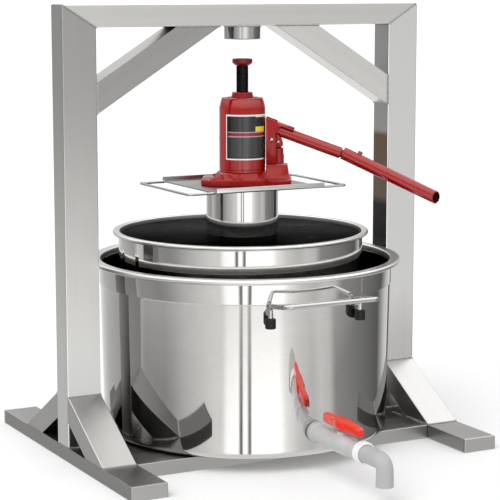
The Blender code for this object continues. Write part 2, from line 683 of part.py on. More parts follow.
def make_strainer():
    """The inner pot, with its rolled rim and two rows of drain holes near its foot."""
    place = (0.0, STRAINER_SHIFT, STRAINER_BASE)
    radii = [(STRAINER_RADIUS, 0.0)]
    height = STRAINER_TOP - STRAINER_BASE
    wall_top = height - STRAINER_RIM_DEPTH - SEAT_GAP
    profile = pot_profile(radii, wall_top, STRAINER_WALL, STRAINER_CORNER)
    pot = turned("straining_pot", profile, POLISHED_STEEL, POT_STEPS, place)
    profile = rim_profile(STRAINER_RADIUS, height, STRAINER_WALL, STRAINER_RIM_RADIUS, STRAINER_RIM_DEPTH)
    turned("straining_pot_rim", profile, POLISHED_STEEL, POT_STEPS, place, ring=True)
    build = bmesh.new()
    for row in range(DRAIN_ROWS):
        for hole in range(DRAINS_IN_ROW):
            angle = 2 * math.pi * (hole + row / 2) / DRAINS_IN_ROW
            outward = Vector((math.cos(angle), math.sin(angle), 0.0))
            centre = outward * (STRAINER_RADIUS - STRAINER_WALL / 2)
            centre.z = DRAIN_ROW_HEIGHT + row * DRAIN_ROW_PITCH
            turn = outward.to_track_quat("Z", "Y").to_matrix().to_4x4()
            bmesh.ops.create_cone(build, cap_ends=True, segments=DRAIN_STEPS, radius1=DRAIN_RADIUS,
                                  radius2=DRAIN_RADIUS, depth=2 * OVERRUN,
                                  matrix=Matrix.Translation(centre) @ turn)
    mesh = bpy.data.meshes.new("drain_holes")
    build.to_mesh(mesh)
    build.free()
    cut(pot, add_cutter("drain_holes", mesh, place))


def wall_distance(radius, sideways):
    """How far a round wall lies from the pot's axis, sideways from its middle."""
    return math.sqrt(radius ** 2 - sideways ** 2)


def make_pot_handles():
    """The rod handles in front and behind, with rubber caps on their leg ends."""
    for end, word in ((-1, "front"), (1, "rear")):
        wall = wall_distance(POT_WALL_RADIUS, HANDLE_HALF_SPAN)
        leg = -POT_SHIFT + end * (wall + HANDLE_STAND_OFF)
        bar = -POT_SHIFT + end * (wall + HANDLE_PROJECTION)
        foot = POT_BASE + POT_HEIGHT - HANDLE_BELOW_RIM
        top = foot + HANDLE_RISE
        corners = []
        for side in (-1, 1):
            run = [(side * HANDLE_HALF_SPAN, leg, foot), (side * HANDLE_HALF_SPAN, leg, top),
                   (side * HANDLE_HALF_SPAN, bar, top + HANDLE_TILT)]
            corners += run if side < 0 else reversed(run)
        name = word + "_pot_handle"
        rod = pipe_mesh(name, rounded_path(corners, HANDLE_BEND), HANDLE_ROD_RADIUS)
        handle = add_part(name, rod, CHROME)
        for side, side_word in ((-1, "left"), (1, "right")):
            place = side * HANDLE_HALF_SPAN
            near_wall = wall_distance(POT_WALL_RADIUS, HANDLE_HALF_SPAN - HANDLE_STUB_RADIUS)
            stub_end = -POT_SHIFT + end * (near_wall + SEAT_GAP)
            level = foot + HANDLE_STUB_HEIGHT
            stub = rod_mesh(name + "_stub", (place, leg, level), (place, stub_end, level),
                            HANDLE_STUB_RADIUS, SMALL_STEPS // 2)
            join(handle, add_cutter(name + "_" + side_word + "_stub", stub))
            make_handle_cap(word + "_" + side_word + "_handle_cap", (place, leg, foot))


def make_handle_cap(name, leg_end):
    """A rubber cup over the end of a handle's leg."""
    bore = HANDLE_ROD_RADIUS + SEAT_GAP
    bottom = -HANDLE_CAP_END - SEAT_GAP
    top = bottom + HANDLE_CAP_HEIGHT
    profile = [(0.0, bottom + HANDLE_CAP_END), (bore, bottom + HANDLE_CAP_END), (bore, top),
               (HANDLE_CAP_RADIUS, top), (HANDLE_CAP_RADIUS, bottom + HANDLE_CAP_END / 2),
               (HANDLE_CAP_RADIUS - HANDLE_CAP_END / 2, bottom), (0.0, bottom)]
    turned(name, profile, BLACK_RUBBER, SMALL_STEPS, leg_end)


def along_tap(part):
    """Lay a piece that was turned round Z along -Y."""
    part.rotation_euler = (math.pi / 2, 0.0, 0.0)
    return part


def make_tap():
    """The plastic tap: shank, seal and nut on the pot's wall, barrel with its ball, collar and spout."""
    level = TAP_HEIGHT - POT_BASE
    slope = (POT_WALL_RADIUS - POT_FOOT_RADIUS) / POT_BAND_HEIGHT
    face = -POT_SHIFT - POT_FOOT_RADIUS - slope * level
    seal_start = SEAT_GAP + slope * TAP_FLANGE_RADIUS
    hollow = TAP_NUT_RADIUS ** 2 / (2 * POT_FOOT_RADIUS) + slope * TAP_NUT_RADIUS
    flange_start = seal_start + TAP_SEAL + SEAT_GAP
    neck_start = flange_start + TAP_FLANGE
    barrel_start = neck_start + TAP_NECK
    barrel_end = barrel_start + TAP_BARREL
    outlet_end = barrel_end + TAP_OUTLET
    place = (0.0, face, TAP_HEIGHT)
    shank_end = -POT_WALL - TAP_SHANK_INSIDE
    ball_centre = barrel_start + TAP_BARREL / 2

    def ring_on_shank(name, start, end, outer, finish):
        bore = TAP_SHANK_RADIUS + SEAT_GAP
        profile = [(bore, start), (bore, end), (outer, end), (outer, start)]
        return along_tap(turned(name, profile, finish, SMALL_STEPS, place, ring=True))

    # A turned piece's height runs towards -Y here, so its top is the end farther from the pot.
    ring_on_shank("tap_seal", seal_start, seal_start + TAP_SEAL, TAP_FLANGE_RADIUS, BLACK_RUBBER)
    nut_start = -POT_WALL - hollow - SEAT_GAP - TAP_NUT
    ring_on_shank("tap_nut", nut_start, nut_start + TAP_NUT, TAP_NUT_RADIUS, WHITE_PLASTIC)

    taper = TAP_TAPER
    profile = [(TAP_BORE, shank_end), (TAP_BORE, outlet_end), (TAP_OUTLET_RADIUS - TAP_EDGE, outlet_end),
               (TAP_OUTLET_RADIUS, outlet_end - TAP_EDGE), (TAP_OUTLET_RADIUS, barrel_end),
               (TAP_BARREL_RADIUS, barrel_end - taper), (TAP_BARREL_RADIUS, barrel_start + taper),
               (TAP_NECK_RADIUS, barrel_start), (TAP_NECK_RADIUS, neck_start),
               (TAP_FLANGE_RADIUS, neck_start), (TAP_FLANGE_RADIUS, flange_start),
               (TAP_SHANK_RADIUS, flange_start), (TAP_SHANK_RADIUS, shank_end)]
    body = along_tap(turned("tap_body", profile, WHITE_PLASTIC, SMALL_STEPS, place, ring=True))
    ball_place = Vector((0.0, face - ball_centre, TAP_HEIGHT))
    boss_top = TAP_HEIGHT + TAP_BARREL_RADIUS + TAP_BOSS
    boss = rod_mesh("tap_boss", ball_place + Vector((0.0, 0.0, TAP_BARREL_RADIUS / 2)),
                    (0.0, ball_place.y, boss_top), TAP_BOSS_RADIUS)
    join(body, add_cutter("tap_boss", boss))
    chamber = ball_mesh("tap_chamber", TAP_BALL_RADIUS + SLIDE_GAP)
    cut(body, add_cutter("tap_chamber", chamber, ball_place))
    stem_hole = rod_mesh("tap_stem_hole", ball_place, (0.0, ball_place.y, boss_top + OVERRUN),
                         TAP_STEM_RADIUS + SEAT_GAP)
    cut(body, add_cutter("tap_stem_hole", stem_hole))

    ball = add_part("tap_ball", ball_mesh("tap_ball", TAP_BALL_RADIUS), CHROME, ball_place)
    past_ball = TAP_BALL_RADIUS + OVERRUN
    way = rod_mesh("tap_ball_way", (0.0, -past_ball, 0.0), (0.0, past_ball, 0.0), TAP_BORE)
    cut(ball, add_cutter("tap_ball_way", way, ball_place))
    make_tap_lever(ball_place, boss_top)

    bore = TAP_OUTLET_RADIUS + SEAT_GAP
    collar_start = outlet_end - TAP_COLLAR
    profile = [(bore, collar_start), (bore, outlet_end), (TAP_COLLAR_RADIUS, outlet_end),
               (TAP_COLLAR_RADIUS, collar_start)]
    along_tap(turned("tap_collar", profile, WHITE_PLASTIC, SMALL_STEPS, place, ring=True))
    make_spout((0.0, face - outlet_end - SEAT_GAP, TAP_HEIGHT))


def ball_mesh(name, radius):
    build = bmesh.new()
    bmesh.ops.create_uvsphere(build, u_segments=SMALL_STEPS, v_segments=SMALL_STEPS // 2, radius=radius)
    mesh = bpy.data.meshes.new(name)
    build.to_mesh(mesh)
    build.free()
    return smooth(mesh)


def make_tap_lever(ball_place, boss_top):
    """The two-winged lever over the barrel, with the stem that turns the ball."""
    foot = boss_top + SLIDE_GAP
    stem_end = ball_place.z + TAP_BALL_RADIUS + SEAT_GAP
    outline = [(-LEVER_TIP_HALF, -LEVER_HALF_LENGTH), (LEVER_TIP_HALF, -LEVER_HALF_LENGTH),
               (LEVER_HUB_HALF, -LEVER_HUB_HALF), (LEVER_HUB_HALF, LEVER_HUB_HALF),
               (LEVER_TIP_HALF, LEVER_HALF_LENGTH), (-LEVER_TIP_HALF, LEVER_HALF_LENGTH),
               (-LEVER_HUB_HALF, LEVER_HUB_HALF), (-LEVER_HUB_HALF, -LEVER_HUB_HALF)]
    mesh = outline_mesh("tap_lever", outline, LEVER_HEIGHT, "Z")
    mesh.transform(Matrix.Translation((0.0, 0.0, foot + LEVER_HEIGHT / 2 - ball_place.z)))
    for corner in mesh.vertices:
        if corner.co.z > foot - ball_place.z + LEVER_HEIGHT / 2 and abs(corner.co.y) > 2 * LEVER_HUB_HALF:
            corner.co.z -= LEVER_HEIGHT - LEVER_TIP_HEIGHT
    lever = bevel(add_part("tap_lever", mesh, ORANGE_PLASTIC, ball_place), LEVER_EDGE)
    stem_foot = stem_end - ball_place.z
    stem = rod_mesh("tap_stem", (0.0, 0.0, stem_foot), (0.0, 0.0, foot - ball_place.z + LEVER_EDGE),
                    TAP_STEM_RADIUS)
    join(lever, add_cutter("tap_stem", stem, ball_place))


def make_spout(start):
    """The elbow that turns the juice down."""
    start = Vector(start)
    corner = start + Vector((0.0, -SPOUT_RUN, 0.0))
    end = corner + Vector((0.0, 0.0, -SPOUT_DROP))
    spout = add_part("tap_spout", pipe_mesh("tap_spout", rounded_path((start, corner, end), SPOUT_BEND),
                                            SPOUT_RADIUS, ROD_RESOLUTION + 5), WHITE_PLASTIC)
    overrun = Vector((0.0, OVERRUN, 0.0))
    fall = Vector((0.0, 0.0, -OVERRUN))
    way = pipe_mesh("spout_way", rounded_path((start + overrun, corner, end + fall), SPOUT_BEND),
                    SPOUT_BORE, ROD_RESOLUTION + 5)
    cut(spout, add_cutter("spout_way", way))


def make_press():
    """Press plate, column, and the tray with its two wire loops."""
    place = (0.0, STRAINER_SHIFT, PRESS_PLATE_TOP - PRESS_PLATE_THICKNESS)
    edge = PRESS_PLATE_EDGE
    profile = [(0.0, PRESS_PLATE_THICKNESS), (PRESS_PLATE_RADIUS - edge, PRESS_PLATE_THICKNESS),
               (PRESS_PLATE_RADIUS, PRESS_PLATE_THICKNESS - edge), (PRESS_PLATE_RADIUS, edge),
               (PRESS_PLATE_RADIUS - edge, 0.0), (0.0, 0.0)]
    turned("press_plate", profile, SATIN_STEEL, POT_STEPS, place)

    foot = PRESS_PLATE_TOP + SEAT_GAP
    top = TRAY_BOTTOM - SEAT_GAP
    bore = COLUMN_RADIUS - COLUMN_WALL
    profile = [(bore, foot), (bore, top), (COLUMN_RADIUS, top), (COLUMN_RADIUS, foot)]
    turned("press_column", profile, POLISHED_STEEL, POT_STEPS, ring=True)

    half = TRAY_DEPTH / 2
    lip = TRAY_BOTTOM + TRAY_FLANGE
    outline = [(-half, lip), (-half, TRAY_BOTTOM), (half, TRAY_BOTTOM), (half, lip),
               (half - TRAY_SHEET, lip), (half - TRAY_SHEET, TRAY_TOP), (-half + TRAY_SHEET, TRAY_TOP),
               (-half + TRAY_SHEET, lip)]
    tray = add_part("jack_tray", outline_mesh("jack_tray", outline, TRAY_WIDTH, "X"), SATIN_STEEL)
    bevel(tray, TRAY_EDGE, 1)

    level = TRAY_BOTTOM + TRAY_SHEET / 2
    for side, word in ((-1, "left"), (1, "right")):
        start = side * (TRAY_WIDTH / 2 + SEAT_GAP)
        reach = side * (TRAY_WIDTH / 2 + LOOP_REACH)
        corners = [(start, LOOP_HALF_SPAN, level), (reach, LOOP_HALF_SPAN, level),
                   (reach, -LOOP_HALF_SPAN, level), (start, -LOOP_HALF_SPAN, level)]
        name = word + "_tray_loop"
        add_part(name, pipe_mesh(name, rounded_path(corners, LOOP_BEND), LOOP_WIRE_RADIUS), CHROME)


def make_jack_base(jack):
    """The cast base: a flange with a boss for the tank, a block for the pump and ribs between them."""
    outline = [(-BASE_BACK, -BASE_HALF_WIDTH + BASE_CORNER), (-BASE_BACK + BASE_CORNER, -BASE_HALF_WIDTH),
               (BASE_FRONT - BASE_CORNER, -BASE_HALF_WIDTH), (BASE_FRONT, -BASE_HALF_WIDTH + BASE_CORNER),
               (BASE_FRONT, BASE_HALF_WIDTH - BASE_CORNER), (BASE_FRONT - BASE_CORNER, BASE_HALF_WIDTH),
               (-BASE_BACK + BASE_CORNER, BASE_HALF_WIDTH), (-BASE_BACK, BASE_HALF_WIDTH - BASE_CORNER)]
    mesh = outline_mesh("jack_base", outline, BASE_FLANGE, "Z")
    mesh.transform(Matrix.Translation((0.0, 0.0, BASE_FLANGE / 2)))
    base = bevel(add_part("jack_base", mesh, RED_ENAMEL, parent=jack), BASE_EDGE)
    boss_foot = BASE_FLANGE / 2
    edge = BASE_BOSS_EDGE
    profile = [(0.0, BASE_BOSS_HEIGHT), (BASE_BOSS_RADIUS - edge, BASE_BOSS_HEIGHT),
               (BASE_BOSS_RADIUS, BASE_BOSS_HEIGHT - edge), (BASE_BOSS_RADIUS + edge / 2, boss_foot),
               (0.0, boss_foot)]
    join(base, turned("base_boss", profile, None, ROUND_STEPS, parent=jack, cutter=True))
    back = BRACKET_BACK
    block_outline = [(back, boss_foot), (PUMP_BLOCK_FRONT + edge, boss_foot), (PUMP_BLOCK_FRONT, BASE_BOSS_HEIGHT),
                     (PUMP_BLOCK_FRONT - BASE_EDGE, PUMP_BLOCK_HEIGHT), (back, PUMP_BLOCK_HEIGHT)]
    block = outline_mesh("pump_block", block_outline, 2 * PUMP_BLOCK_HALF_WIDTH, "Y")
    join(base, bevel(add_cutter("pump_block", block, parent=jack), BASE_EDGE))
    for angle_share, reach_share in zip(RIB_ANGLE_SHARES, RIB_REACH_SHARES):
        reach = BASE_RIB_REACH * reach_share
        rib_outline = [(TANK_NECK_RADIUS, boss_foot), (reach, boss_foot), (reach, BASE_FLANGE + BASE_EDGE / 2),
                       (BASE_BOSS_RADIUS, BASE_BOSS_HEIGHT - edge), (TANK_NECK_RADIUS, BASE_BOSS_HEIGHT - edge)]
        name = "base_rib"
        rib = outline_mesh(name, rib_outline, BASE_RIB, "Y")
        rib.transform(Matrix.Rotation(math.pi * angle_share, 4, "Z"))
        join(base, add_cutter(name, rib, parent=jack))
    well = rod_mesh("plunger_well", (PUMP_PLACE, 0.0, BASE_FLANGE + BASE_EDGE),
                    (PUMP_PLACE, 0.0, PUMP_BLOCK_HEIGHT + OVERRUN), PLUNGER_RADIUS + SEAT_GAP)
    cut(base, add_cutter("plunger_well", well, parent=jack))
    side = PUMP_BLOCK_HALF_WIDTH
    seat = rod_mesh("valve_seat", (VALVE_PLACE, side - VALVE_SHANK, VALVE_HEIGHT),
                    (VALVE_PLACE, side + OVERRUN, VALVE_HEIGHT), VALVE_SHANK_RADIUS + SEAT_GAP)
    cut(base, add_cutter("valve_seat", seat, parent=jack))


def make_release_valve(jack):
    """The slotted valve in the side of the pump block, turned on its axis along Y'."""
    start = PUMP_BLOCK_HALF_WIDTH + SEAT_GAP
    place = Vector((VALVE_PLACE, start, VALVE_HEIGHT))
    profile = [(0.0, VALVE_HEAD), (VALVE_RADIUS - VALVE_SLOT / 2, VALVE_HEAD),
               (VALVE_RADIUS, VALVE_HEAD - VALVE_SLOT / 2), (VALVE_RADIUS, 0.0),
               (VALVE_SHANK_RADIUS, 0.0), (VALVE_SHANK_RADIUS, SLIDE_GAP - VALVE_SHANK),
               (0.0, SLIDE_GAP - VALVE_SHANK)]
    valve = turned("release_valve", profile, CHROME, SMALL_STEPS, place, jack)
    valve.rotation_euler = (-math.pi / 2, 0.0, 0.0)
    slot = box_mesh("valve_slot", (-VALVE_RADIUS - OVERRUN, VALVE_HEAD / 2, -VALVE_SLOT / 2),
                    (VALVE_RADIUS + OVERRUN, VALVE_HEAD + OVERRUN, VALVE_SLOT / 2))
    cut(valve, add_cutter("valve_slot", slot, place, jack))


def make_tank(jack):
    """Tank, pressure cylinder, top nut, ram, extension screw, saddle and filler plug."""
    shoulder = TANK_HEIGHT + TANK_SHOULDER
    wall = TANK_WALL
    inner = TANK_RADIUS - wall
    bore = TANK_NECK_RADIUS
    neck_foot = shoulder - wall
    profile = [(inner, 0.0), (inner, TANK_HEIGHT - wall / 2), (inner - wall, neck_foot - wall / 2),
               (bore, neck_foot), (bore, shoulder), (TANK_RADIUS - 2 * wall, shoulder)]
    profile += arc((TANK_RADIUS - TANK_SHOULDER, TANK_HEIGHT), TANK_SHOULDER, TANK_SHOULDER_TURN, 0)
    profile += [(TANK_RADIUS, 0.0)]
    place = (0.0, 0.0, TANK_FOOT)
    turned("jack_tank", profile, RED_ENAMEL, ROUND_STEPS, place, jack, ring=True)

    ram_bore = RAM_RADIUS + SEAT_GAP
    profile = [(ram_bore, 0.0), (ram_bore, shoulder), (CYLINDER_RADIUS, shoulder), (CYLINDER_RADIUS, 0.0)]
    turned("pressure_cylinder", profile, SATIN_STEEL, SMALL_STEPS, place, jack, ring=True)
    foot_ring = TANK_FOOT_RING
    packing = bore - SEAT_GAP
    profile = [(CYLINDER_RADIUS + SEAT_GAP, neck_foot), (CYLINDER_RADIUS + SEAT_GAP, shoulder - foot_ring),
               (packing, shoulder - foot_ring), (packing, neck_foot)]
    turned("tank_packing", profile, BLACK_RUBBER, SMALL_STEPS, place, jack, ring=True)

    edge = SADDLE_DISH
    profile = [(ram_bore, 0.0), (ram_bore, TOP_NUT_HEIGHT), (TOP_NUT_RADIUS - edge, TOP_NUT_HEIGHT),
               (TOP_NUT_RADIUS, TOP_NUT_HEIGHT - edge), (TOP_NUT_RADIUS, 0.0)]
    turned("top_nut", profile, RED_ENAMEL, SMALL_STEPS, (0.0, 0.0, NUT_FOOT), jack, ring=True)

    ram_foot = TANK_FOOT + SLIDE_GAP
    ram_height = NUT_TOP - ram_foot
    screw_bore = SCREW_RADIUS + SEAT_GAP
    floor = ram_height - RAM_BORE_DEPTH
    profile = [(0.0, floor), (screw_bore, floor), (screw_bore, ram_height), (RAM_RADIUS, ram_height),
               (RAM_RADIUS, 0.0), (0.0, 0.0)]
    turned("ram", profile, CHROME, SMALL_STEPS, (0.0, 0.0, ram_foot), jack)

    top = SADDLE_FOOT - SEAT_GAP
    screw_foot = NUT_TOP - SCREW_INSIDE
    profile = [(0.0, top), (SCREW_RADIUS, top), (SCREW_RADIUS, screw_foot), (0.0, screw_foot)]
    turned("extension_screw", profile, BLACK_STEEL, SMALL_STEPS, parent=jack)
    dish = SADDLE_RADIUS - 2 * SADDLE_DISH
    profile = [(0.0, SADDLE_HEIGHT - SADDLE_DISH), (dish, SADDLE_HEIGHT - SADDLE_DISH), (dish, SADDLE_HEIGHT),
               (SADDLE_RADIUS - edge / 2, SADDLE_HEIGHT), (SADDLE_RADIUS, SADDLE_HEIGHT - edge / 2),
               (SADDLE_RADIUS, SADDLE_HEIGHT / 3), (SADDLE_WAIST, 0.0), (0.0, 0.0)]
    turned("saddle", profile, RED_ENAMEL, SMALL_STEPS, (0.0, 0.0, SADDLE_FOOT), jack)

    outward = Vector((math.cos(FILLER_HEADING), math.sin(FILLER_HEADING), 0.0))
    level = Vector((0.0, 0.0, FILLER_HEIGHT))
    face = wall_distance(TANK_RADIUS, FILLER_RADIUS) + SEAT_GAP + FILLER_RADIUS ** 2 / (2 * TANK_RADIUS)
    plug = rod_mesh("filler_plug", outward * face + level, outward * (face + FILLER_HEAD) + level, FILLER_RADIUS)
    add_part("filler_plug", plug, BLACK_RUBBER, parent=jack)


def make_pump(jack):
    """Pump barrel, plunger, the bracket that carries the rocker's pivot, and the rocker itself."""
    foot = PUMP_BLOCK_HEIGHT + SEAT_GAP
    bore = PLUNGER_RADIUS + SEAT_GAP
    height = PUMP_FOOT_HEIGHT + PUMP_NECK_HEIGHT
    edge = BASE_EDGE / 2
    profile = [(bore, 0.0), (bore, height), (PUMP_NECK_RADIUS - edge, height), (PUMP_NECK_RADIUS, height - edge),
               (PUMP_NECK_RADIUS, PUMP_FOOT_HEIGHT + edge),
               (PUMP_FOOT_RADIUS - edge / 2, PUMP_FOOT_HEIGHT + edge / 2),
               (PUMP_FOOT_RADIUS, PUMP_FOOT_HEIGHT), (PUMP_FOOT_RADIUS, 0.0)]
    turned("pump_barrel", profile, RED_ENAMEL, SMALL_STEPS, (PUMP_PLACE, 0.0, foot), jack, ring=True)

    pin_place = Vector((PUMP_PLACE, 0.0, PUMP_PIN_HEIGHT))
    plunger_foot = PUMP_TOP - PLUNGER_INSIDE - PUMP_PIN_HEIGHT
    rod = rod_mesh("plunger", (0.0, 0.0, plunger_foot), (0.0, 0.0, 0.0), PLUNGER_RADIUS)
    plunger = add_part("plunger", rod, CHROME, pin_place, jack)
    eye = rod_mesh("plunger_eye", (0.0, -PLUNGER_RADIUS, 0.0), (0.0, PLUNGER_RADIUS, 0.0), PLUNGER_EYE_RADIUS)
    join(plunger, add_cutter("plunger_eye", eye, pin_place, jack))
    pin_half = CHEEK_OUTER + PUMP_PIN_HEAD
    hole = rod_mesh("plunger_eye_hole", (0.0, -pin_half, 0.0), (0.0, pin_half, 0.0), PUMP_PIN_RADIUS + SEAT_GAP)
    cut(plunger, add_cutter("plunger_eye_hole", hole, pin_place, jack))
    pin = rod_mesh("pump_pin", (0.0, -pin_half, 0.0), (0.0, pin_half, 0.0), PUMP_PIN_RADIUS)
    add_part("pump_pin", pin, CHROME, pin_place, jack)

    pivot = Vector((PIVOT_PLACE, 0.0, PIVOT_HEIGHT))
    make_bracket(jack, pivot, foot)
    half = EAR_INNER + EAR_THICKNESS + SLIDE_GAP
    shaft = rod_mesh("rocker_pivot", (0.0, -half, 0.0), (0.0, half, 0.0), PIVOT_RADIUS)
    add_part("rocker_pivot", shaft, CHROME, pivot, jack)
    make_rocker(jack, pivot)


def make_bracket(jack, pivot, foot):
    """Two ears on the pump block, joined by a web beside the tank."""
    fall = EAR_TOP_REACH * math.tan(ROCKER_ANGLE)
    outline = [(BRACKET_BACK, foot), (PIVOT_PLACE + EAR_RADIUS, foot)]
    outline += arc((PIVOT_PLACE, PIVOT_HEIGHT), EAR_RADIUS, 0, 45, 3)
    outline += [(BRACKET_BACK + EAR_TOP_REACH, EAR_TOP - fall), (BRACKET_BACK, EAR_TOP)]
    width = 2 * (EAR_INNER + EAR_THICKNESS)
    mesh = outline_mesh("pump_bracket", outline, width, "Y")
    bracket = bevel(add_part("pump_bracket", mesh, RED_ENAMEL, parent=jack), BASE_EDGE / 2, 1)
    web_face = BRACKET_BACK + BRACKET_WEB
    web_top = foot + BRACKET_WEB_HEIGHT
    over = EAR_TOP + OVERRUN
    reach = BRACKET_BACK + EAR_TOP_REACH + OVERRUN
    room_outline = [(web_face, foot - OVERRUN), (reach, foot - OVERRUN), (reach, over),
                    (BRACKET_BACK - OVERRUN, over), (BRACKET_BACK - OVERRUN, web_top), (web_face, web_top)]
    room = outline_mesh("bracket_room", room_outline, 2 * EAR_INNER, "Y")
    cut(bracket, add_cutter("bracket_room", room, parent=jack))
    hole = rod_mesh("bracket_hole", (0.0, -width, 0.0), (0.0, width, 0.0), PIVOT_RADIUS + SEAT_GAP)
    cut(bracket, add_cutter("bracket_hole", hole, pivot, jack))


def make_rocker(jack, pivot):
    """The forked rocker with its handle socket, and the two tubes of the handle.

    The rocker's own X runs along the socket, so the whole swings on an empty at the pivot.
    """
    swing = bpy.data.objects.new("rocker_axis", None)
    PARTS.objects.link(swing)
    swing.parent = jack
    swing.location = pivot
    swing.rotation_euler = (0.0, ROCKER_ANGLE, 0.0)

    nose = PUMP_ARM + CHEEK_NOSE
    shoulder = SOCKET_OFFSET + SOCKET_BORE
    outline = arc((0.0, 0.0), CHEEK_RADIUS, 180, 270, 4)
    outline += arc((nose - CHEEK_RADIUS, 0.0), CHEEK_RADIUS, 270, 360, 4)
    outline += [(nose - CHEEK_RADIUS / 2, SOCKET_OFFSET - SOCKET_BORE), (nose - CHEEK_RADIUS, SOCKET_OFFSET),
                (SOCKET_START + SOCKET_FLOOR, shoulder), (SOCKET_START, shoulder),
                (-CHEEK_RADIUS * 2 / 3, SOCKET_OFFSET - SOCKET_FLOOR), (-CHEEK_RADIUS, CHEEK_RADIUS)]
    mesh = outline_mesh("rocker", outline, 2 * CHEEK_OUTER, "Y")
    rocker = bevel(add_part("rocker", mesh, RED_ENAMEL, parent=swing), BASE_EDGE / 2, 1)
    socket_end = (SOCKET_END, 0.0, SOCKET_OFFSET)
    socket = rod_mesh("socket", (SOCKET_START, 0.0, SOCKET_OFFSET), socket_end, SOCKET_RADIUS)
    join(rocker, add_cutter("socket", socket, parent=swing))
    bore_start = SOCKET_START + SOCKET_FLOOR
    past_end = (SOCKET_END + OVERRUN, 0.0, SOCKET_OFFSET)
    bore = rod_mesh("socket_bore", (bore_start, 0.0, SOCKET_OFFSET), past_end, SOCKET_BORE)
    cut(rocker, add_cutter("socket_bore", bore, parent=swing))
    lip = SOCKET_OFFSET - SOCKET_RADIUS
    mouth_outline = [(SOCKET_END + OVERRUN, HOOD_EDGE), (bore_start + CHEEK_RADIUS, HOOD_EDGE),
                     (bore_start + CHEEK_RADIUS / 2, HOOD_EDGE - CHEEK_RADIUS / 2),
                     (bore_start + SOCKET_FLOOR, SOCKET_OFFSET),
                     (bore_start + CHEEK_RADIUS / 2, SOCKET_OFFSET - CHEEK_RADIUS * 2 / 3),
                     (nose - CHEEK_RADIUS, SOCKET_OFFSET - SOCKET_BORE), (nose, lip - OVERRUN),
                     (SOCKET_END + OVERRUN, lip - OVERRUN)]
    mouth = outline_mesh("socket_mouth", mouth_outline, 2 * (SOCKET_RADIUS + OVERRUN), "Y")
    cut(rocker, add_cutter("socket_mouth", mouth, parent=swing))
    fork_half = PLUNGER_RADIUS + SLIDE_GAP
    fork = box_mesh("rocker_fork", (-CHEEK_RADIUS - OVERRUN, -fork_half, -CHEEK_RADIUS - OVERRUN),
                    (nose + OVERRUN, fork_half, PLUNGER_EYE_RADIUS + SLIDE_GAP))
    cut(rocker, add_cutter("rocker_fork", fork, parent=swing))
    across = CHEEK_OUTER + OVERRUN
    hole = rod_mesh("rocker_pivot_hole", (0.0, -across, 0.0), (0.0, across, 0.0), PIVOT_RADIUS + SEAT_GAP)
    cut(rocker, add_cutter("rocker_pivot_hole", hole, parent=swing))
    slot = rod_mesh("rocker_slot", (PUMP_ARM, -across, 0.0), (PUMP_ARM, across, 0.0),
                    PUMP_PIN_RADIUS + PUMP_SLOT_GAP)
    cut(rocker, add_cutter("rocker_slot", slot, parent=swing))
    make_handle(swing, bore_start + SEAT_GAP)


def make_handle(swing, tube_start):
    """The lower tube, which ends in a spigot, and the upper tube that fits over it."""
    spigot_end = LOWER_TUBE_END + SPIGOT_LENGTH / 2
    shoulder = LOWER_TUBE_END - SPIGOT_LENGTH / 2 - SPIGOT_SHOULDER
    profile = [(0.0, spigot_end), (SPIGOT_RADIUS, spigot_end), (SPIGOT_RADIUS, shoulder),
               (LOWER_TUBE_RADIUS, shoulder - SPIGOT_SHOULDER), (LOWER_TUBE_RADIUS, tube_start), (0.0, tube_start)]
    socket_axis = (0.0, 0.0, SOCKET_OFFSET)
    lower = turned("handle_lower_tube", profile, RED_ENAMEL, SMALL_STEPS, socket_axis, swing)
    lower.rotation_euler = (0.0, math.pi / 2, 0.0)

    kink = UPPER_TUBE_ANGLE - ROCKER_ANGLE
    start = -SPIGOT_LENGTH / 2
    joint = (LOWER_TUBE_END, 0.0, SOCKET_OFFSET)
    profile = [(UPPER_TUBE_BORE, start), (UPPER_TUBE_BORE, UPPER_TUBE_LENGTH),
               (UPPER_TUBE_RADIUS, UPPER_TUBE_LENGTH), (UPPER_TUBE_RADIUS, start)]
    upper = turned("handle_upper_tube", profile, RED_ENAMEL, SMALL_STEPS, joint, swing, ring=True)
    upper.rotation_euler = (0.0, math.pi / 2 + kink, 0.0)
    face = UPPER_TUBE_RADIUS + SEAT_GAP
    screw = rod_mesh("handle_lock_screw", (-face, 0.0, LOCK_SCREW_PLACE),
                     (-face - LOCK_SCREW_HEIGHT, 0.0, LOCK_SCREW_PLACE), LOCK_SCREW_RADIUS, SMALL_STEPS // 2)
    screw_part = add_part("handle_lock_screw", screw, RED_ENAMEL, joint, swing)
    screw_part.rotation_euler = upper.rotation_euler


def make_jack():
    """The bottle jack, built round an empty on the tray that faces along the handle."""
    jack = bpy.data.objects.new("jack_place", None)
    PARTS.objects.link(jack)
    jack.location = (0.0, 0.0, JACK_FOOT)
    jack.rotation_euler = (0.0, 0.0, JACK_HEADING)
    make_jack_base(jack)
    make_release_valve(jack)
    make_tank(jack)
    make_pump(jack)


make_frame()
make_feet()
make_base()
make_head_ring()
make_juice_pot()
make_strainer()
make_pot_handles()
make_tap()
make_press()
make_jack()
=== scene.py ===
"""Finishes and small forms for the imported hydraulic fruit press, with its floor, light and camera.

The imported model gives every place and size. Pieces here stand where their CAD solids are, with rounder
walls, welds, threads and grip ribs, and each finish is built from nodes.
"""
import json
import math
from functools import partial

import bmesh
import bpy
from bpy.props import FloatProperty, FloatVectorProperty, IntProperty, PointerProperty
from mathutils import Matrix, Vector


